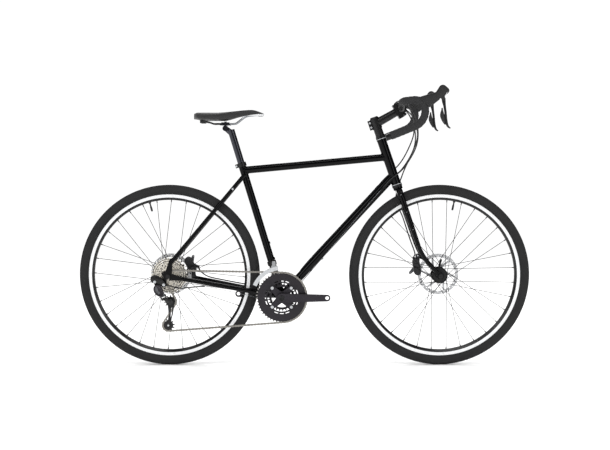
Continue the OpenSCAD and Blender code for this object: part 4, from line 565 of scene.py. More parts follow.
STOP = beside_tube(DT_LEN - 70, -DOWN_R - STOP_OUT, 0)
JOIN = beside_tube(0.88 * DT_LEN, DT_SIDE, DT_OVER)
STAY_STOP = mirrored(beside_stay(0.76, 0, -12.6))
SHIFT_LOOP = np.array([[19, -100, 20], [46, -74, -20], [64, -46, -84], [56, -32, -150], [12, -28, -225]])
REAR_BRAKE_LOOP = np.array([[19, -110, 16], [42, -62, -30], [52, -6, -84], [40, 28, -136], [2, 30, -206]])
FRONT_BRAKE_LOOP = np.array([[19, 109, 14], [58, 88, -30], [72, 66, -100], [50, 62, -170], [14, 62, -250]])
STOP_END = np.array([STOP + 50 * DT_DIR - 4 * LEFT, STOP + 22 * DT_DIR, STOP + 3 * DT_DIR])
LOOPS = {
    "right_shift_housing": np.concatenate([BAR + SHIFT_LOOP, STOP_END]),
    "left_shift_housing": mirrored(np.concatenate([BAR + SHIFT_LOOP - [3, 0, 5], STOP_END])),
    "rear_brake_loop": np.concatenate([BAR + REAR_BRAKE_LOOP, [
        JOIN + 44.8 * DT_DIR + 10 * LEFT, JOIN + 14.8 * DT_DIR, JOIN + 0.4 * DT_DIR]]),
    "front_brake_housing": np.concatenate([BAR + FRONT_BRAKE_LOOP, [
        beside_blade(CROWN - 40, -16, 9, -5), beside_blade(BLADE_S + 110, -15, 9, -4),
        beside_blade(BLADE_S + 20, -17, 8, 0), FRONT_CALIPER + [-6, ARM_Y - 2, 54],
        FRONT_CALIPER + [-10, ARM_Y - 2, 39.5]]]),
}
TAIL_LOOP = np.array([
    STAY_STOP, STAY_STOP + [-46, -10, -3], STAY_STOP + [-92, -20, -6], STAY_STOP + [-128, -22, 2],
    HANGER + [11, -DROPOUT_OUT - 6, -1]])
BRAKE_RUN = np.array([
    JOIN, beside_tube(0.55 * DT_LEN, DT_SIDE, DT_OVER), beside_tube(0.22 * DT_LEN, DT_SIDE + 3, DT_OVER - 1),
    BB + [36, 25, 40], BB + [-12, 37, 35], beside_stay(0.3, 7, 16), beside_stay(0.6, 4, 13.4),
    beside_stay(0.75, 5, 15), REAR_CALIPER + [37.8, ARM_Y - 2, -28.2], REAR_CALIPER + [31.6, ARM_Y - 2, -15.6]])


def housing(name, points, node, body=None):
    """A round housing on a smooth curve through its points."""
    path, along = evenly(spline(points, 16), PATH_STEP)
    made = piece(name, [tube(path, HOUSING_R, HOUSING_SIDES)], [JACKET], body, [node])
    if body is None:
        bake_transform(made)
    return path


def ferrule(path):
    """A short round sleeve along a housing's last stretch, a little over its end."""
    end, heading = path[-1], unit(path[-1] - path[-3])
    places = np.array([-FERRULE_LEN, -0.9 * FERRULE_LEN, 0.5])[:, None]
    return tube(end + places * heading, [FERRULE_R - 0.3, FERRULE_R, FERRULE_R], FERRULE_SIDES)


ends = [housing(name, points, "bar_housings", "steering" if "front" in name else None)
        for name, points in LOOPS.items()][:2]
tail = housing("derailleur_housing", TAIL_LOOP, "frame_cables", "frame")
brake_run = evenly(spline(BRAKE_RUN, 16), PATH_STEP)[0]
piece("rear_brake_housing", [tube(brake_run, HOUSING_R, HOUSING_SIDES)], [JACKET], "frame", ["frame_cables"])
right_wire = np.array([STOP, BB + [12, -8, GUIDE_Z]])
wires = [right_wire, mirrored(right_wire), np.array([BB + [-17, -8, GUIDE_Z], STAY_STOP])]
piece("shift_wires", [tube(w, WIRE_R, WIRE_SIDES) for w in wires], [WIRE], "frame", ["frame_cables"])
piece("housing_ferrules", [ferrule(path) for path in (*ends, tail, tail[::-1], brake_run)],
      [ANODISED], "frame", ())
sleeve = JOIN + np.array([-FERRULE_LEN, 0, FERRULE_LEN])[:, None] * DT_DIR
piece("brake_sleeve", [tube(sleeve, FERRULE_R, FERRULE_SIDES)], [JACKET], "frame", ())

# Tyres

TYRE_R, TYRE_HALF, CASING = 352, 20.5, 2.6
TREAD_PITCH_DEG, TYRE_STEPS = 4, 720
# Degrees across the casing: its outer edge, the flank's last ring, the tread's, the moulded line's and the inner edge
OUTER_EDGE, FLANK, TREAD_EDGE, MOULDED_AT, INNER_EDGE = 132, 70, 66, 98, 122
FLANK_RINGS, TREAD_RINGS, LINING_RINGS = 10, 61, 13
BEAD_CORNERS = np.array([[-15.5, 10], [-19, 10]])


def tread(along, across):
    """How deep the tread is cut, in mm, at degrees round the wheel and degrees across the crown: two grooves beside
    the middle, slanted grooves on the shoulders, and shallow chevrons between the two grooves."""
    side = np.abs(across)
    ribs = 0.9 * (1 - smooth(1.2, 3.0, np.abs(side - 17)))
    slant = np.mod(along / TREAD_PITCH_DEG + side / 60, 1)
    shoulder = between(22, 25, 58, 66, side)
    blocks = shoulder * (1 - smooth(0.14, 0.24, np.abs(slant - 0.5)))
    chevron = np.mod(2 * along / TREAD_PITCH_DEG + side / 14, 1)
    middle = 0.3 * (1 - smooth(11, 13, side)) * (1 - smooth(0.1, 0.22, np.abs(chevron - 0.5)))
    return np.maximum(np.maximum(ribs, blocks), middle)


def tyre(at, body, node):
    """A closed casing round the axle: an outer arc with the tread cut into it, two bead edges and an inner arc."""
    flank = np.linspace(FLANK, OUTER_EDGE, FLANK_RINGS)
    across = np.concatenate([-flank[::-1], np.linspace(-TREAD_EDGE, TREAD_EDGE, TREAD_RINGS), flank])
    along = np.linspace(0, 360, TYRE_STEPS, endpoint=False)[:, None]
    moulded_line = 0.35 * np.exp(-((np.abs(across) - MOULDED_AT) / 3) ** 2)
    outer = TYRE_HALF + moulded_line - tread(along, across)
    a, b = np.radians(across), np.radians(np.linspace(INNER_EDGE, -INNER_EDGE, LINING_RINGS))
    lining = (TYRE_HALF - CASING) * np.stack([np.cos(b), np.sin(b)], 1)
    closing = np.concatenate([BEAD_CORNERS, lining, BEAD_CORNERS[::-1] * [1, -1]])
    closing = np.broadcast_to(closing, (TYRE_STEPS, *closing.shape))
    section = np.concatenate([outer[..., None] * np.stack([np.cos(a), np.sin(a)], -1), closing], 1)
    turn = np.radians(along)
    r = TYRE_R - TYRE_HALF + section[..., 0]
    points = np.stack([at[0] + r * np.sin(turn), section[..., 1], at[2] - r * np.cos(turn)], -1)
    return piece("treaded_" + node, [(points, True, True)], [RUBBER], body, [node])


tyre(FRONT, "front_wheel", "front_tyre")
tyre(REAR, "rear_wheel", "rear_tyre")

# Saddle

CLAMP = BB + 679 * SEAT_UP + [-20.5, 0, 9]
RAIL_Z = CLAMP[2] + 12
SADDLE_LEN, SADDLE_HALF, NOSE_HALF = 272, 73, 18.5
SADDLE_ROWS, SADDLE_SIDES = 121, 120
SADDLE_TAIL, PALE_FROM = CLAMP[0] - 122, 0.7


def saddle_crown(t):
    """Height of the saddle's top over its rails, from the tail at 0 to the nose at 1."""
    nose = np.maximum(0, (t - 0.78) / 0.22) ** 2
    return 44 + 12 * smooth(0.3, 0.8, t) - 17 * nose - 4 * (1 - smooth(0, 0.06, t))


def saddle_belly(t):
    """Height of the saddle's underside over its rails, with the pale base under the nose."""
    return 13.5 - 2 * smooth(0, 0.35, t) + 18 * smooth(0.42, 0.74, t) + 4.5 * (1 - smooth(0, 0.12, t))


def saddle():
    """A closed skin over two parameters: t from the tail to the nose, and an angle round the section. The section is a
    flattened ring between the belly and the crown, with a shallow channel along its middle and a sunk seam."""
    t = ((1 - np.cos(np.linspace(0, np.pi, SADDLE_ROWS))) / 2)[:, None]
    a = np.linspace(0, 2 * np.pi, SADDLE_SIDES, endpoint=False)[None, :] + np.pi / SADDLE_SIDES
    # The tail's last 11 hundredths and the nose's last 8 are rounded off as quarter circles are
    tail_end, nose_end = (np.sqrt(np.maximum(1e-4, 1 - np.maximum(0, f) ** 2))
                          for f in (1 - t / 0.11, (t - 0.92) / 0.08))
    half = tail_end * nose_end * (
        NOSE_HALF + (SADDLE_HALF - NOSE_HALF) * (1 - smooth(0.13, 0.66, t)) + 4 * smooth(0.8, 0.93, t))
    crown, belly = saddle_crown(t), saddle_belly(t)
    edge = belly + 0.4 * (crown - belly)
    flat = lambda v, power: np.sign(v) * np.abs(v) ** power
    y = half * flat(np.cos(a), 0.75)
    channel = 4.5 * between(0.08, 0.22, 0.72, 0.86, t) * np.exp(-y ** 2 / 60)
    high = np.sin(a)
    up = np.where(high > 0, (crown - edge) * flat(high, 0.8) - channel, (edge - belly) * flat(high, 0.5))
    # The cover's hem stands out a little round the lower edge, and a seam crosses each flank
    hem = 1.1 * np.exp(-((high + 0.42) / 0.07) ** 2)
    seam = -0.9 * np.exp(-((high - 0.62 + 0.15 * np.cos(6 * t)) / 0.035) ** 2) * between(0.06, 0.12, 0.82, 0.9, t)
    wide = 1 + (hem + seam) / np.maximum(half, 8)
    rows = np.stack([SADDLE_TAIL + SADDLE_LEN * t + 0 * a, y * wide, RAIL_Z + edge + up + 0 * y], -1)
    tip, tail = (np.repeat(rows[i].mean(0)[None, None], SADDLE_SIDES, 1) for i in (-1, 0))
    made = piece("saddle_cover", [np.concatenate([tail, rows, tip])], [VINYL, SHELL_DARK, SHELL_PALE],
                 "seat", ["saddle"], sharp=60, paint=saddle_paint)
    return made


def saddle_paint(p):
    """Cover above the hem, a dark shell below it, and a pale one under the nose."""
    t = (p[:, 0] - SADDLE_TAIL) / SADDLE_LEN
    over = p[:, 2] - RAIL_Z - saddle_belly(t)
    under = over < 0.14 * (saddle_crown(t) - saddle_belly(t))
    return np.where((t > PALE_FROM) & (over < 8 * smooth(0.62, 0.95, t)), 2, np.where(under, 1, 0))


saddle()
# Painted shade: the rails are painted black behind the clamp, where the saddle shades them
RAIL_SHADE_BEHIND = CLAMP[0] - 8
rails = frame["nodes"]["saddle_rails"].data
rails.materials.append(SHELL_DARK)
rails.polygons.foreach_set("material_index", [int(p.center.x < RAIL_SHADE_BEHIND * MM) for p in rails.polygons])

# Handlebar tape, wound from the drop's end toward the stem

BAR_R, BAR_SIDES = 11.9, 40
RISE_BEND, RISE_TURN, BAR_RISE, BULGE = 24, 42, 24, 36
DROP_Y, REACH_BEND, RAMP_ROLL, DROP_LEN, TAPE_GAP = 215, 36, -95, 112, 14
# Radius and angle of the drop's two bends
HOOK = ((36, 85), (62, 78))
TAPE_PITCH, TAPE_WIDE, TURN_STEPS, BARE_END = 17, 25, 28, 16
# Across the strip and back underneath, as (share of its width, height over the bar)
STRIP = np.array([(0, 1.2), (0.05, 1.9), (0.3, 2.2), (0.6, 2.6), (0.9, 3.1), (0.97, 3.0), (1, 2.5), (0.9, 1.2),
                  (0.5, 0.4), (0.1, 0.3)])
# Round the bar where the tape starts, as (place along the bar, height over it), and the end plug's profile
BAND = np.array([(-5, -0.5), (-5, 0.5), (-3, 3.5), (10, 3.6), (12, 3.2), (12, -0.5), (8, -0.8), (-4, -0.8)])
PLUG = [(0.01, -1), (12.6, 0.5), (12.4, 2.6), (8, 3.6), (0.01, 4)]


def traced(path, p, t, x):
    """Points 1 to 2 mm apart along straight stretches (length, 0, 0) and bends (radius, angle, roll about the heading).
    t is the heading, and x the side that a bend with no roll turns to."""
    points = []
    for size, angle, roll in path:
        c, s = np.cos(np.radians(roll)), np.sin(np.radians(roll))
        side = c * x + s * np.cross(t, x)
        turn = np.radians(angle)
        if turn == 0:
            points.append(p + np.linspace(0, size, int(size) + 1, endpoint=False)[:, None] * t)
            p = p + size * t
            continue
        a = np.linspace(0, turn, int(size * turn) + 2, endpoint=False)[:, None]
        points.append(p + size * ((1 - np.cos(a)) * side + np.sin(a) * t))
        p = p + size * ((1 - np.cos(turn)) * side + np.sin(turn) * t)
        t, side = np.cos(turn) * t + np.sin(turn) * side, np.cos(turn) * side - np.sin(turn) * t
        x = c * side - s * np.cross(t, side)
    return np.vstack([*points, p[None]])


RISE_LEN = (BAR_RISE - 2 * RISE_BEND * (1 - np.cos(np.radians(RISE_TURN)))) / np.sin(np.radians(RISE_TURN))
TOPS_FROM = BULGE + 2 * RISE_BEND * np.sin(np.radians(RISE_TURN)) + RISE_LEN * np.cos(np.radians(RISE_TURN))
bar_line, bar_along = evenly(traced(
    [(BULGE, 0, 0), (RISE_BEND, RISE_TURN, 180), (RISE_LEN, 0, 0), (RISE_BEND, RISE_TURN, 0),
     (DROP_Y - REACH_BEND - TOPS_FROM, 0, 0), (REACH_BEND, 90, RAMP_ROLL),
     *((r, turn, RAMP_ROLL + 90) for r, turn in HOOK), (DROP_LEN, 0, 0)], BAR, LEFT, -UP), 1.5)
TAPE_FROM = BULGE + 2 * RISE_BEND * np.radians(RISE_TURN) + RISE_LEN + TAPE_GAP


def along_bar(s):
    """Places on the left half of the bar's line, and its two sides there, s mm along it from the stem."""
    _, u, v = carried(bar_line, UP)
    return [np.stack([np.interp(s, bar_along, w[:, i]) for i in range(3)], -1) for w in (bar_line, u, v)]


def wound_tape():
    """One closed strip in a helix: each turn starts on the bar and ends over the start of the next, so that the strip
    rises by its own thickness across its width. Its ends are drawn in."""
    last = bar_along[-1] - BARE_END
    length = last - TAPE_FROM
    turns = (length + TAPE_WIDE) / TAPE_PITCH
    angle = np.linspace(0, 2 * np.pi * turns, int(TURN_STEPS * turns))[:, None]
    s = TAPE_PITCH * angle / (2 * np.pi) - TAPE_WIDE + TAPE_WIDE * STRIP[:, 0]
    s = last - np.clip(s, 0, length)
    p, u, v = along_bar(s)
    turned_to = np.broadcast_to(angle, s.shape)[..., None]
    return p + (BAR_R + STRIP[:, 1][None, :, None]) * (np.cos(turned_to) * u + np.sin(turned_to) * v)


def finishing_band():
    """A closed ring of tape round the bar: each pair in its section is one circle."""
    p, u, v = along_bar(TAPE_FROM + BAND[:, 0])
    return p[:, None] + (BAR_R + BAND[:, 1])[:, None, None] * around(u, v, BAR_SIDES)


strip, band = wound_tape(), finishing_band()
plug = turned(bar_line[-1], unit(bar_line[-1] - bar_line[-2]), PLUG, BAR_SIDES)[0]
piece("wound_bar_tape", [strip, mirrored(strip)], [CORK_TAPE], "steering", ["bar_tape"], sharp=55)
piece("tape_bands_and_plugs", [(band, True, True), (mirrored(band), True, True), plug, mirrored(plug)],
      [NYLON], "steering", ())

# Brake hoods

HOOD_VOXEL, HOOD_PASSES, HOOD_MERGE = 1.4, 14, 0.005
RIB_HIGH, RIB_PITCH = 0.3, 3.6
# Where the ribs start and end, forward of the bar and above it
RIBBED_X, RIBBED_Z = (118, 126, 140, 150), (48, 54, 70, 76)


def hoods():
    """The CAD's hoods, remeshed evenly and relaxed as stretched rubber is, with fine ribs where the thumb lies."""
    source = frame["nodes"]["brake_hoods"]
    rough = shown("hood_rough", source.data.copy())
    merge(rough.data, HOOD_MERGE)
    remesh = rough.modifiers.new("remesh", "REMESH")
    remesh.mode, remesh.voxel_size = "VOXEL", HOOD_VOXEL * MM
    relax = rough.modifiers.new("relax", "SMOOTH")
    relax.iterations, relax.factor = HOOD_PASSES, 0.5
    mesh = bpy.data.meshes.new_from_object(rough.evaluated_get(bpy.context.evaluated_depsgraph_get()))
    bpy.data.objects.remove(rough)
    co, normal = read(mesh.vertices, "co"), read(mesh.vertex_normals, "vector")
    x, z = (co[:, i] / MM - BAR[i] for i in (0, 2))
    ribbed = between(*RIBBED_X, x) * between(*RIBBED_Z, z)
    lift = RIB_HIGH * ribbed * np.sin(2 * np.pi * (0.6 * x + z) / RIB_PITCH)
    mesh.vertices.foreach_set("co", (co + MM * lift[:, None] * normal).astype(np.float32).ravel())
    mesh.materials.clear()
    mesh.materials.append(HOOD_RUBBER)
    mesh.shade_smooth()
    made = shown("rubber_hoods", mesh)
    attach(made, "steering")
    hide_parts("brake_hoods")


hoods()

# Chain

CHAIN_LINKS, CHAIN_Y, PLATE_R, ROLLER_R, PIN_R = 116, -58, 4.1, 3.88, 1.85
LINK_T, INNER_MID, OUTER_MID, PIN_END, WAIST = 0.85, 1.7, 2.7, 3.6, 0.72
# The loop's wheels in turn: axle, teeth and the way that the chain bends round it
WHEELS = ((BB, 48, -1), (TENSION, 11, -1), (GUIDE, 11, 1), (REAR, 11, -1))


def chain_pins(count):
    """Places of the pins on a closed loop over the four wheels: arcs of each wheel's pitch circle and the straight
    runs between them, each measured in links."""
    at = np.array([(p[0], p[2]) for p, _, _ in WHEELS])
    teeth, way = (np.array([w[i] for w in WHEELS]) for i in (1, 2))
    r = pitch_radius(teeth)
    d = np.roll(at, -1, 0) - at
    lead = np.roll(way * r, -1) - way * r
    far = np.linalg.norm(d, axis=1)
    leave = np.arctan2(d[:, 1], d[:, 0]) - np.arcsin(lead / far)
    arrive = np.roll(leave, 1)
    on_arc = np.mod(way * (leave - arrive), 2 * np.pi) * teeth / (2 * np.pi)
    on_run = np.sqrt(far ** 2 - lead ** 2) / PITCH
    starts = np.concatenate([[0], np.cumsum(np.stack([on_arc, on_run], 1).ravel())])
    u = np.arange(count) * starts[-1] / count
    stretch = np.searchsorted(starts, u, side="right") - 1
    k, f = stretch // 2, u - starts[stretch]
    arc = np.where(stretch % 2 == 0, f, on_arc[k])
    angle = arrive[k] - way[k] * np.pi / 2 + way[k] * arc * 2 * np.pi / teeth[k]
    run = np.where(stretch % 2 == 1, f, 0) * PITCH
    return at[k] + r[k, None] * np.stack([np.cos(angle), np.sin(angle)], 1) + run[:, None] * np.stack(
        [np.cos(leave[k]), np.sin(leave[k])], 1)


def discs(centres, half, radius, sides):
    """Short cylinders across the chain, one for each centre, drawn in to their axes at both ends."""
    profile = [(0, -half), (radius, -half), (radius, half), (0, half)]
    return [turned(np.array([x, CHAIN_Y, z]), LEFT, profile, sides) for x, z in centres]


def plates(ends, y, thick):
    """Waisted link plates: round each pin an arc, and between the pins a narrower waist; drawn in to the middle of both
    faces."""
    p, q = ends
    mid, half = (p + q) / 2, (q - p) / 2
    along = unit(half)
    a = np.radians(np.linspace(-125, 125, 6))
    end = np.stack([PITCH / 2 + PLATE_R * np.cos(a), PLATE_R * np.sin(a)], 1)
    outline = np.concatenate([end, [[0, WAIST * PLATE_R]], -end, [[0, -WAIST * PLATE_R]]])
    ring = mid[:, None] + outline[None, :, :1] * along[:, None] + outline[None, :, 1:] * np.stack(
        [-along[:, 1], along[:, 0]], 1)[:, None]
    core, low, high = np.broadcast_to(mid[:, None], ring.shape), y - thick / 2, y + thick / 2
    rows = [np.insert(w, 1, h, axis=2) for w, h in ((core, low), (ring, low), (ring, high), (core, high))]
    return list(np.stack(rows, 1))


def chain():
    """Inner and outer links in turn, with a roller and a riveted pin at each joint."""
    pins = chain_pins(CHAIN_LINKS)
    after = np.roll(pins, -1, 0)
    inner, outer = (pins[0::2], after[0::2]), (pins[1::2], after[1::2])
    grids = []
    for side in (-1, 1):
        grids += plates(inner, CHAIN_Y + side * INNER_MID, LINK_T)
        grids += plates(outer, CHAIN_Y + side * OUTER_MID, LINK_T)
    grids += discs(pins, INNER_MID, ROLLER_R, 10) + discs(pins, PIN_END, PIN_R, 8)
    return piece("riveted_chain", grids, [NICKEL], "frame", ["chain"], sharp=30)


chain()

# Chainrings: three toothed rings on their bolts, the outer two with slots

RING_GAP, RING_T, TOOTH_R, TIP_R, TIP_HALF, TAB = 7.6, 1.8, 4.33, 2.9, 1.3, 8
BOLT_CIRCLE, SMALL_CIRCLE = 52, 32
# Each ring's teeth, the radius of its opening and that of its bolts' circle, from the outermost inwards
CHAINRINGS = ((48, 57, BOLT_CIRCLE), (36, 55.5, BOLT_CIRCLE), (26, 40, SMALL_CIRCLE))
SLOT_R, SLOT_HALF, SLOT_DEG = 63.2, 2, 5.5
# The bolts through the two larger rings, and the posts of the smallest, as (radius, place inwards from the chain)
RING_BOLT = [(0, -7.2), (2.4, -7.2), (2.9, -8.2), (5.4, -8.2), (6, -7.6), (6, -6.1), (3.9, -6.1), (3.9, 9.8), (0, 9.8)]
RING_POST = [(0, -0.9), (6, -0.9), (6, 14.2), (3.9, 14.2), (3.9, 17.6), (0, 17.6)]


def toothed(teeth, phase):
    """A sprocket's outline: round each roller's seat an arc, and a narrow tip between two seats."""
    r = pitch_radius(teeth)
    at = np.radians(phase) + 2 * np.pi * np.arange(teeth)[:, None] / teeth
    seat = at + np.pi + np.radians(np.array([65, 40, 0, -40, -65]))[None]
    x, z = (r * f(at) + TOOTH_R * f(seat) for f in (np.cos, np.sin))
    tip = at + np.pi / teeth + np.array([-1, 1])[None] * TIP_HALF / r
    ring = np.concatenate([np.stack([x, z], -1), (r + TIP_R) * np.stack([np.cos(tip), np.sin(tip)], -1)], 1)
    return ring.reshape(-1, 2)


def tabbed(inner, bolts):
    """The opening of a ring: a circle, drawn in round each of four bolts."""
    a = np.linspace(0, 360, 240, endpoint=False)
    off = np.abs(np.mod(a, 90) - 45)
    r = inner - (inner - bolts + TAB) * (1 - smooth(5, 14, off))
    return r[:, None] * np.stack([np.cos(np.radians(a)), np.sin(np.radians(a))], 1)


def slots():
    """Twelve short curved slots round the axle, three between each two bolts."""
    out = []
    for at in np.add.outer(np.arange(4) * 90, (-20, 0, 20)).ravel():
        a = np.radians(np.linspace(at - SLOT_DEG, at + SLOT_DEG, 5))
        out.append(ribbon(SLOT_R * np.stack([np.cos(a), np.sin(a)], 1), np.full(5, SLOT_HALF), k=2, round_steps=4))
    return out


def chainrings():
    """Plates punched with teeth, an opening and slots. A seat of the largest ring lies at a pin of the chain."""
    middle = BB[[0, 2]]
    pin = chain_pins(CHAIN_LINKS) - middle
    on_ring = pin[np.argmin(np.abs(np.linalg.norm(pin, axis=1) - pitch_radius(CHAINRINGS[0][0])))]
    phase = np.degrees(np.arctan2(on_ring[1], on_ring[0]))
    rings, bolts = [], []
    for i, (teeth, opening, circle) in enumerate(CHAINRINGS):
        y = CHAIN_Y + RING_GAP * i
        loops = [toothed(teeth, 2.0 * i if i else phase), tabbed(opening, circle), *(slots() if i < 2 else [])]
        rings.append(punched([w + middle for w in loops], y - RING_T / 2, y + RING_T / 2))
    for circle, profile in ((BOLT_CIRCLE, RING_BOLT), (SMALL_CIRCLE, RING_POST)):
        bolts += [turned(BB * [1, 0, 1] + CHAIN_Y * LEFT + circle * direction(a), LEFT, profile, 24)
                  for a in (45, 135, 225, 315)]
    made = piece("slotted_chainrings", rings, [RINGS], "crankset", ["chainrings"], sharp=25)
    broken_edges(made, 0.25, 1)
    piece("chainring_bolts", bolts, [ZINC], "crankset", (), sharp=30)


chainrings()

# Rear derailleur: the link's own axes are those of the CAD's parallelogram

SWEEP = unit(np.array([0, 0.78, -0.63]))
LEAN = np.array([0.436, -0.566, -0.7])
LEAN = unit(LEAN - (LEAN @ SWEEP) * SWEEP)
LINK_AXIS = np.cross(LEAN, SWEEP)
LINK_TURN = np.radians(12)
LINK_ONE = np.cos(LINK_TURN) * LEAN + np.sin(LINK_TURN) * SWEEP
LINK_TWO = np.cross(LINK_AXIS, LINK_ONE)
LINK_PIN = REAR + [-36, -82, -34]
CAGE_HALF, CAGE_T = 4.6, 1.6
# The outer cage plate's middle line from the guide pulley, and half its width there; then its slot's
CAGE_LINE = np.array([[-1, 6], [0.5, -4], [3, -17], [4, -32], [2, -50], [-3, -69], [-7.5, -84], [-9, -95]])
CAGE_WIDE = np.array([11, 12, 10.6, 8.4, 7, 6.6, 8, 8.6])
CAGE_SLOT, SLOT_WIDE = np.array([[4, -27], [3.4, -40], [-0.5, -58]]), np.array([3, 3.2, 2.6])
# Each forging's middle line, and half its width and depth there: the shoulder's from the hanger, the others' as the
# place down the link and along its pins, standing that far out from it
SHOULDER = HANGER + np.array([[0, -80, 0], [-15, -84, 13], [-32, -85, 21], [-45, -84, 17]])
SHOULDER_SIZE = [(6, 10.5), (8, 14), (9, 16.5), (6, 12)]
COVER, COVER_OUT = ((4, -6), (15, -9), (28, -9), (41, -6)), 7.8
COVER_SIZE = [(13, 1.7), (17, 2.2), (17, 2.2), (13, 1.7)]
RIB, RIB_OUT, RIB_SIZE = ((8, -13), (22, -15), (37, -11)), 10.2, [(4, 0.8), (5.4, 1), (4, 0.8)]
# Profiles of the pulleys' bolts and of the two on the shoulder, and the places of those from the hanger
PULLEY_BOLT = [(0, -8.4), (3, -8.4), (3.6, -7.8), (3.6, -6.2), (2.5, -6.2), (2.5, 6), (0, 6)]
PIVOT_BOLT = [(0, -0.6), (2.2, -0.6), (2.8, -2.2), (5, -2.2), (5.6, -1.6), (5.6, 3), (0, 3)]
PIVOT_BOLTS = HANGER + np.array([[0, -88, 0], [-34, -95, 12]])


def on_link(places, out):
    """Places by the outer link: down it from its upper pin and along its pins, standing that far out from it."""
    down, along = np.array(places, float).T[:, :, None]
    return LINK_PIN + down * LINK_ONE - out * LINK_TWO + along * LINK_AXIS


def derailleur():
    """The shoulder is a forging carried from the hanger to the upper pins, the link's cover one carried down the link;
    the two cage plates are bands cut from sheet."""
    x, y, z = GUIDE
    guide = np.array([x, z])
    outer = punched([ribbon(CAGE_LINE, CAGE_WIDE) + guide, ribbon(CAGE_SLOT, SLOT_WIDE) + guide],
                    y - CAGE_HALF - CAGE_T, y - CAGE_HALF)
    inner = punched([ribbon(CAGE_LINE * [0.2, 1] - [5, 0], 0.72 * CAGE_WIDE) + guide],
                    y + CAGE_HALF, y + CAGE_HALF + CAGE_T)
    piece("derailleur_shoulder", [forged(SHOULDER, LEFT, SHOULDER_SIZE)], [ANODISED], "frame", ())
    piece("derailleur_bolts", [turned(at, LEFT, PIVOT_BOLT, 32) for at in PIVOT_BOLTS], [ZINC], "frame", (),
          sharp=30)
    piece("link_cover", [forged(on_link(COVER, COVER_OUT), LINK_AXIS, COVER_SIZE)], [CRANK_GREY],
          "rear_shift_outer_link", ())
    piece("link_rib", [forged(on_link(RIB, RIB_OUT), LINK_AXIS, RIB_SIZE)], [BLASTED],
          "rear_shift_outer_link", ())
    for name, sheet, made, slot in (("cage_plates", outer, ANODISED, "black_alloy"),
                                    ("cage_back_plate", inner, BLASTED, "grey_alloy")):
        broken_edges(piece(name, [sheet], [made], "rear_shift_cage", ["derailleur_cage"], sharp=25), 0.4, 2)
    piece("cage_bolts", [turned(at, LEFT, PULLEY_BOLT, 32) for at in (GUIDE, TENSION)], [ZINC], "rear_shift_cage", (),
          sharp=30)


derailleur()

# Brake levers and shift paddles

LEVER_PIN, LEVER_Y = BAR + [143, 0, 30], DROP_Y
PADDLE_PIN = LEVER_PIN + [-1, 0, -36]
# Each row is a place from the pin, forward and up, then half the depth and half the width there
BLADE = np.array([[0, 3, 7.5, 4], [1, -8, 7, 5], [4, -25, 5, 5.6], [7.5, -50, 4.5, 6], [9.5, -72, 4.6, 6.4],
                  [13, -92, 4.6, 6.4], [18, -102, 3.8, 5.6], [25, -107, 2.4, 4]])
PADDLE = np.array([[-4, 3, 2.6, 3.4], [-4, -5, 3.6, 4.2], [-4.2, -15, 6.6, 4.8], [-3, -26, 8.6, 5.2],
                   [0.2, -38, 7.4, 5], [4, -49, 5, 4.4], [7.6, -57, 2.6, 3.2]])
# A bright rim round the cap on the hood's nose: its middle from the bar, its tilt and its two half sizes
CAP_RIM_AT, CAP_RIM_TILT, CAP_RIM_HALF, CAP_WIRE_R = BAR + [155, 0, 54], direction(58), (15, 9.5), 0.7


def lever(pin, rows, side):
    """A forged blade down a curve through the rows, on that side of the bar."""
    path = np.stack([rows[:, 0], 0 * rows[:, 0], rows[:, 1]], 1) + pin + [0, side * LEVER_Y, 0]
    return forged(path, LEFT, rows[:, [3, 2]])


for hand, side in (("right", -1), ("left", 1)):
    piece(f"shaped_{hand}_lever", [lever(LEVER_PIN, BLADE, side)], [ANODISED], f"{hand}_lever",
          [f"{hand}_brake_lever"])
    piece(f"shaped_{hand}_paddle", [lever(PADDLE_PIN, PADDLE, side)], [NYLON], f"{hand}_paddle",
          [f"{hand}_shift_paddle"])


def cap_rim(side):
    """A thin wire bent to an ellipse in a tilted plane across the hood's nose."""
    along, wide = CAP_RIM_HALF
    line = CAP_RIM_AT + side * LEVER_Y * LEFT + around(along * CAP_RIM_TILT, wide * LEFT, 72)
    out = unit(line - line.mean(0))
    return line[:, None] + CAP_WIRE_R * around(out, np.cross(CAP_RIM_TILT, LEFT), 8), True, True


piece("hood_cap_rims", [cap_rim(-1), cap_rim(1)], [POLISHED], "steering", ())

# Weld beads where the tubes meet

BEAD_R, BEAD_PITCH, BEAD_RIPPLE = 1.9, 2.6, 0.12


def bead(start, toward, radius, on, along, on_radius):
    """A rippled bead where one tube meets another: round the first tube, each point slides along it until it lies on
    the second tube's wall, and a small round section follows that closed line."""
    d, e = unit(toward - start), unit(along)
    side = unit(np.cross(d, e))
    out = around(side, np.cross(d, side), 180)
    q = start + radius * out - on
    q_flat, d_flat = q - (q @ e)[:, None] * e, d - (d @ e) * e
    b, c = q_flat @ d_flat, (q_flat ** 2).sum(1) - on_radius ** 2
    s = (-b + np.sqrt(np.maximum(0, b ** 2 - (d_flat @ d_flat) * c))) / (d_flat @ d_flat)
    line = on + q + s[:, None] * d
    heading = unit(np.roll(line, -1, 0) - np.roll(line, 1, 0))
    across = np.cross(heading, out)
    length = np.linalg.norm(np.roll(line, -1, 0) - line, axis=1)
    turns = np.round(length.sum() / BEAD_PITCH) * np.cumsum(length) / length.sum()
    r = BEAD_R * (1 + BEAD_RIPPLE * np.cos(2 * np.pi * turns))
    return line[:, None] + r[:, None, None] * around(out, across, 10), True, True


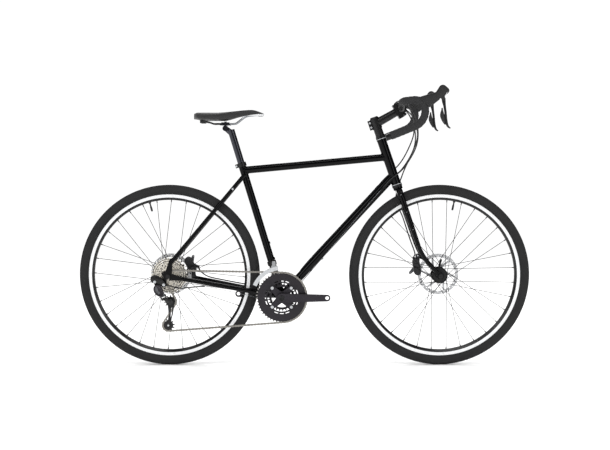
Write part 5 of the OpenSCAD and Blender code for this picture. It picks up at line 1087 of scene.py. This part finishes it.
piece("weld_beads", [
    bead(TOP_TUBE_HEAD, TOP_TUBE_SEAT, SLIM_R, STEER, HEAD_UP, HEAD_R),
    bead(DOWN_TUBE_HEAD, BB, DOWN_R, STEER, HEAD_UP, HEAD_R),
    bead(TOP_TUBE_SEAT, TOP_TUBE_HEAD, SLIM_R, BB, SEAT_UP, SLIM_R + 0.05),
    bead(BB, DOWN_TUBE_HEAD, DOWN_R, BB, LEFT, SHELL_R),
    bead(BB, TOP_TUBE_SEAT, SLIM_R, BB, LEFT, SHELL_R),
    bead(*CHAIN_STAY, STAY_R, BB, LEFT, SHELL_R),
    bead(*mirrored(CHAIN_STAY), STAY_R, BB, LEFT, SHELL_R),
], [ENAMEL], "frame", (), sharp=70)

# Blanking screws in the threaded bosses, valve caps and the crank's dust cap

SCREW = [(0.01, -2), (2.3, -2), (2.3, 0), (3.9, 0), (3.9, 1.1), (2.9, 2), (1.7, 2.2), (1.5, 1.1), (0.01, 1.1)]
VALVE_CAP = [(0.01, 0), (2.2, 0.2), (3.6, 1.6), (4, 4), (4, 19), (3.2, 20), (3.2, 19.4), (0.01, 19.4)]
DUST_CAP = [(0.01, -0.4), (6, -0.2), (7, 0.6), (9.6, 1.2), (11, 0.6), (11, -1), (0.01, -1)]
DUST_CAP_AT, VALVE_BEYOND = BB - 89 * LEFT, 12

screws = {"frame": [], "steering": []}
for mount in frame["record"]["mounts"]:
    if "boss" in mount["name"]:
        screws["steering" if "fork" in mount["name"] else "frame"].append(
            turned(np.array(mount["pos_m"]) / MM, np.array(mount["axis"]), SCREW, 24, True))
for body, heads in screws.items():
    piece(f"{body}_boss_screws", heads, [ZINC], body, (), sharp=35)


def valve_cap(wheel, at):
    """A cap over the end of the valve: the tube's point nearest the axle is the valve's tip."""
    out = (read(frame["nodes"][wheel + "_tube"].data.vertices, "co") / MM - at) * [1, 0, 1]
    nearest = out[np.argmin(np.linalg.norm(out, axis=1))]
    way = unit(nearest)
    return turned(at + nearest - VALVE_BEYOND * way, way, VALVE_CAP, 32, True)


for wheel, at in (("front", FRONT), ("rear", REAR)):
    piece(wheel + "_valve_cap", [valve_cap(wheel, at)], [NYLON], wheel + "_wheel", (), sharp=35)
piece("crank_dust_cap", [turned(DUST_CAP_AT, -LEFT, DUST_CAP, 48, True)], [ANODISED], "crankset", (),
      sharp=35)

# Bright rims on the headset

# Places of the two rims on the steering axis, and their section as (radius, place along it), its edges broken
HEADSET_RIMS, RIM_IN, RIM_OUT, RIM_HALF, RIM_EDGE = (389, 576), HEAD_R + 0.8, HEAD_R + 2.3, 1.1, 0.3
RIM_SECTION = [(RIM_IN, -RIM_HALF), (RIM_OUT - RIM_EDGE, -RIM_HALF), (RIM_OUT, -RIM_HALF + RIM_EDGE),
               (RIM_OUT, RIM_HALF - RIM_EDGE), (RIM_OUT - RIM_EDGE, RIM_HALF), (RIM_IN, RIM_HALF)]
piece("headset_rims", [turned(STEER + s * HEAD_UP, HEAD_UP, RIM_SECTION, 72, True) for s in HEADSET_RIMS],
      [ZINC], "frame", (), sharp=30)

# Floor and light

FLOOR_HALF_M, TENT, FLAGS = 30, 1.05, 0.14
floor_mesh = bpy.data.meshes.new("floor")
floor_mesh.from_pydata(
    [(x * FLOOR_HALF_M, y * FLOOR_HALF_M, 0) for x, y in ((-1, -1), (1, -1), (1, 1), (-1, 1))], [], [(0, 1, 2, 3)])
floor_mesh.materials.append(finish("pale_studio_floor", "#fdfdfd", "#ffffff", (0.85, 0.9), 900, 4, 0.01,
                                   **{"Specular IOR Level": 0.0}))
shown("floor", floor_mesh)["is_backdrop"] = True

world = bpy.data.worlds.new("studio")
world.use_nodes = True
# A white tent, with dark flags that only gloss sees, so that black paint stays black between the lamps' streaks
tent = world.node_tree
flags = add(tent, "MapRange", {
    "Value": add(tent, "LightPath").outputs["Is Glossy Ray"], "To Min": TENT, "To Max": FLAGS})
tent.nodes["Background"].inputs["Color"].default_value = (1, 1, 1, 1)
tent.links.new(flags.outputs[0], tent.nodes["Background"].inputs["Strength"])
bpy.context.scene.world = world
# Each lamp's place, width and height in metres, and its power in watts
for name, at, wide, high, power in (
    ("key_panel", (-2.6, -3.0, 2.4), 1.4, 2.2, 30), ("fill_panel", (2.8, -2.8, 1.9), 1.0, 2.2, 22),
    ("top_strip", (-0.3, -1.8, 3.4), 3.0, 0.2, 26), ("back_light", (0.4, 3.2, 3.2), 1.6, 1.6, 45),
):
    light = shown(name, bpy.data.lights.new(name, "AREA"))
    light.data.shape, light.data.size, light.data.size_y, light.data.energy = "RECTANGLE", wide, high, power
    light.location = at
    light.rotation_euler = (Vector((0, 0, 0.5)) - light.location).to_track_quat("-Z", "Y").to_euler()
bpy.context.scene.view_settings.view_transform = "Standard"

low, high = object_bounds()
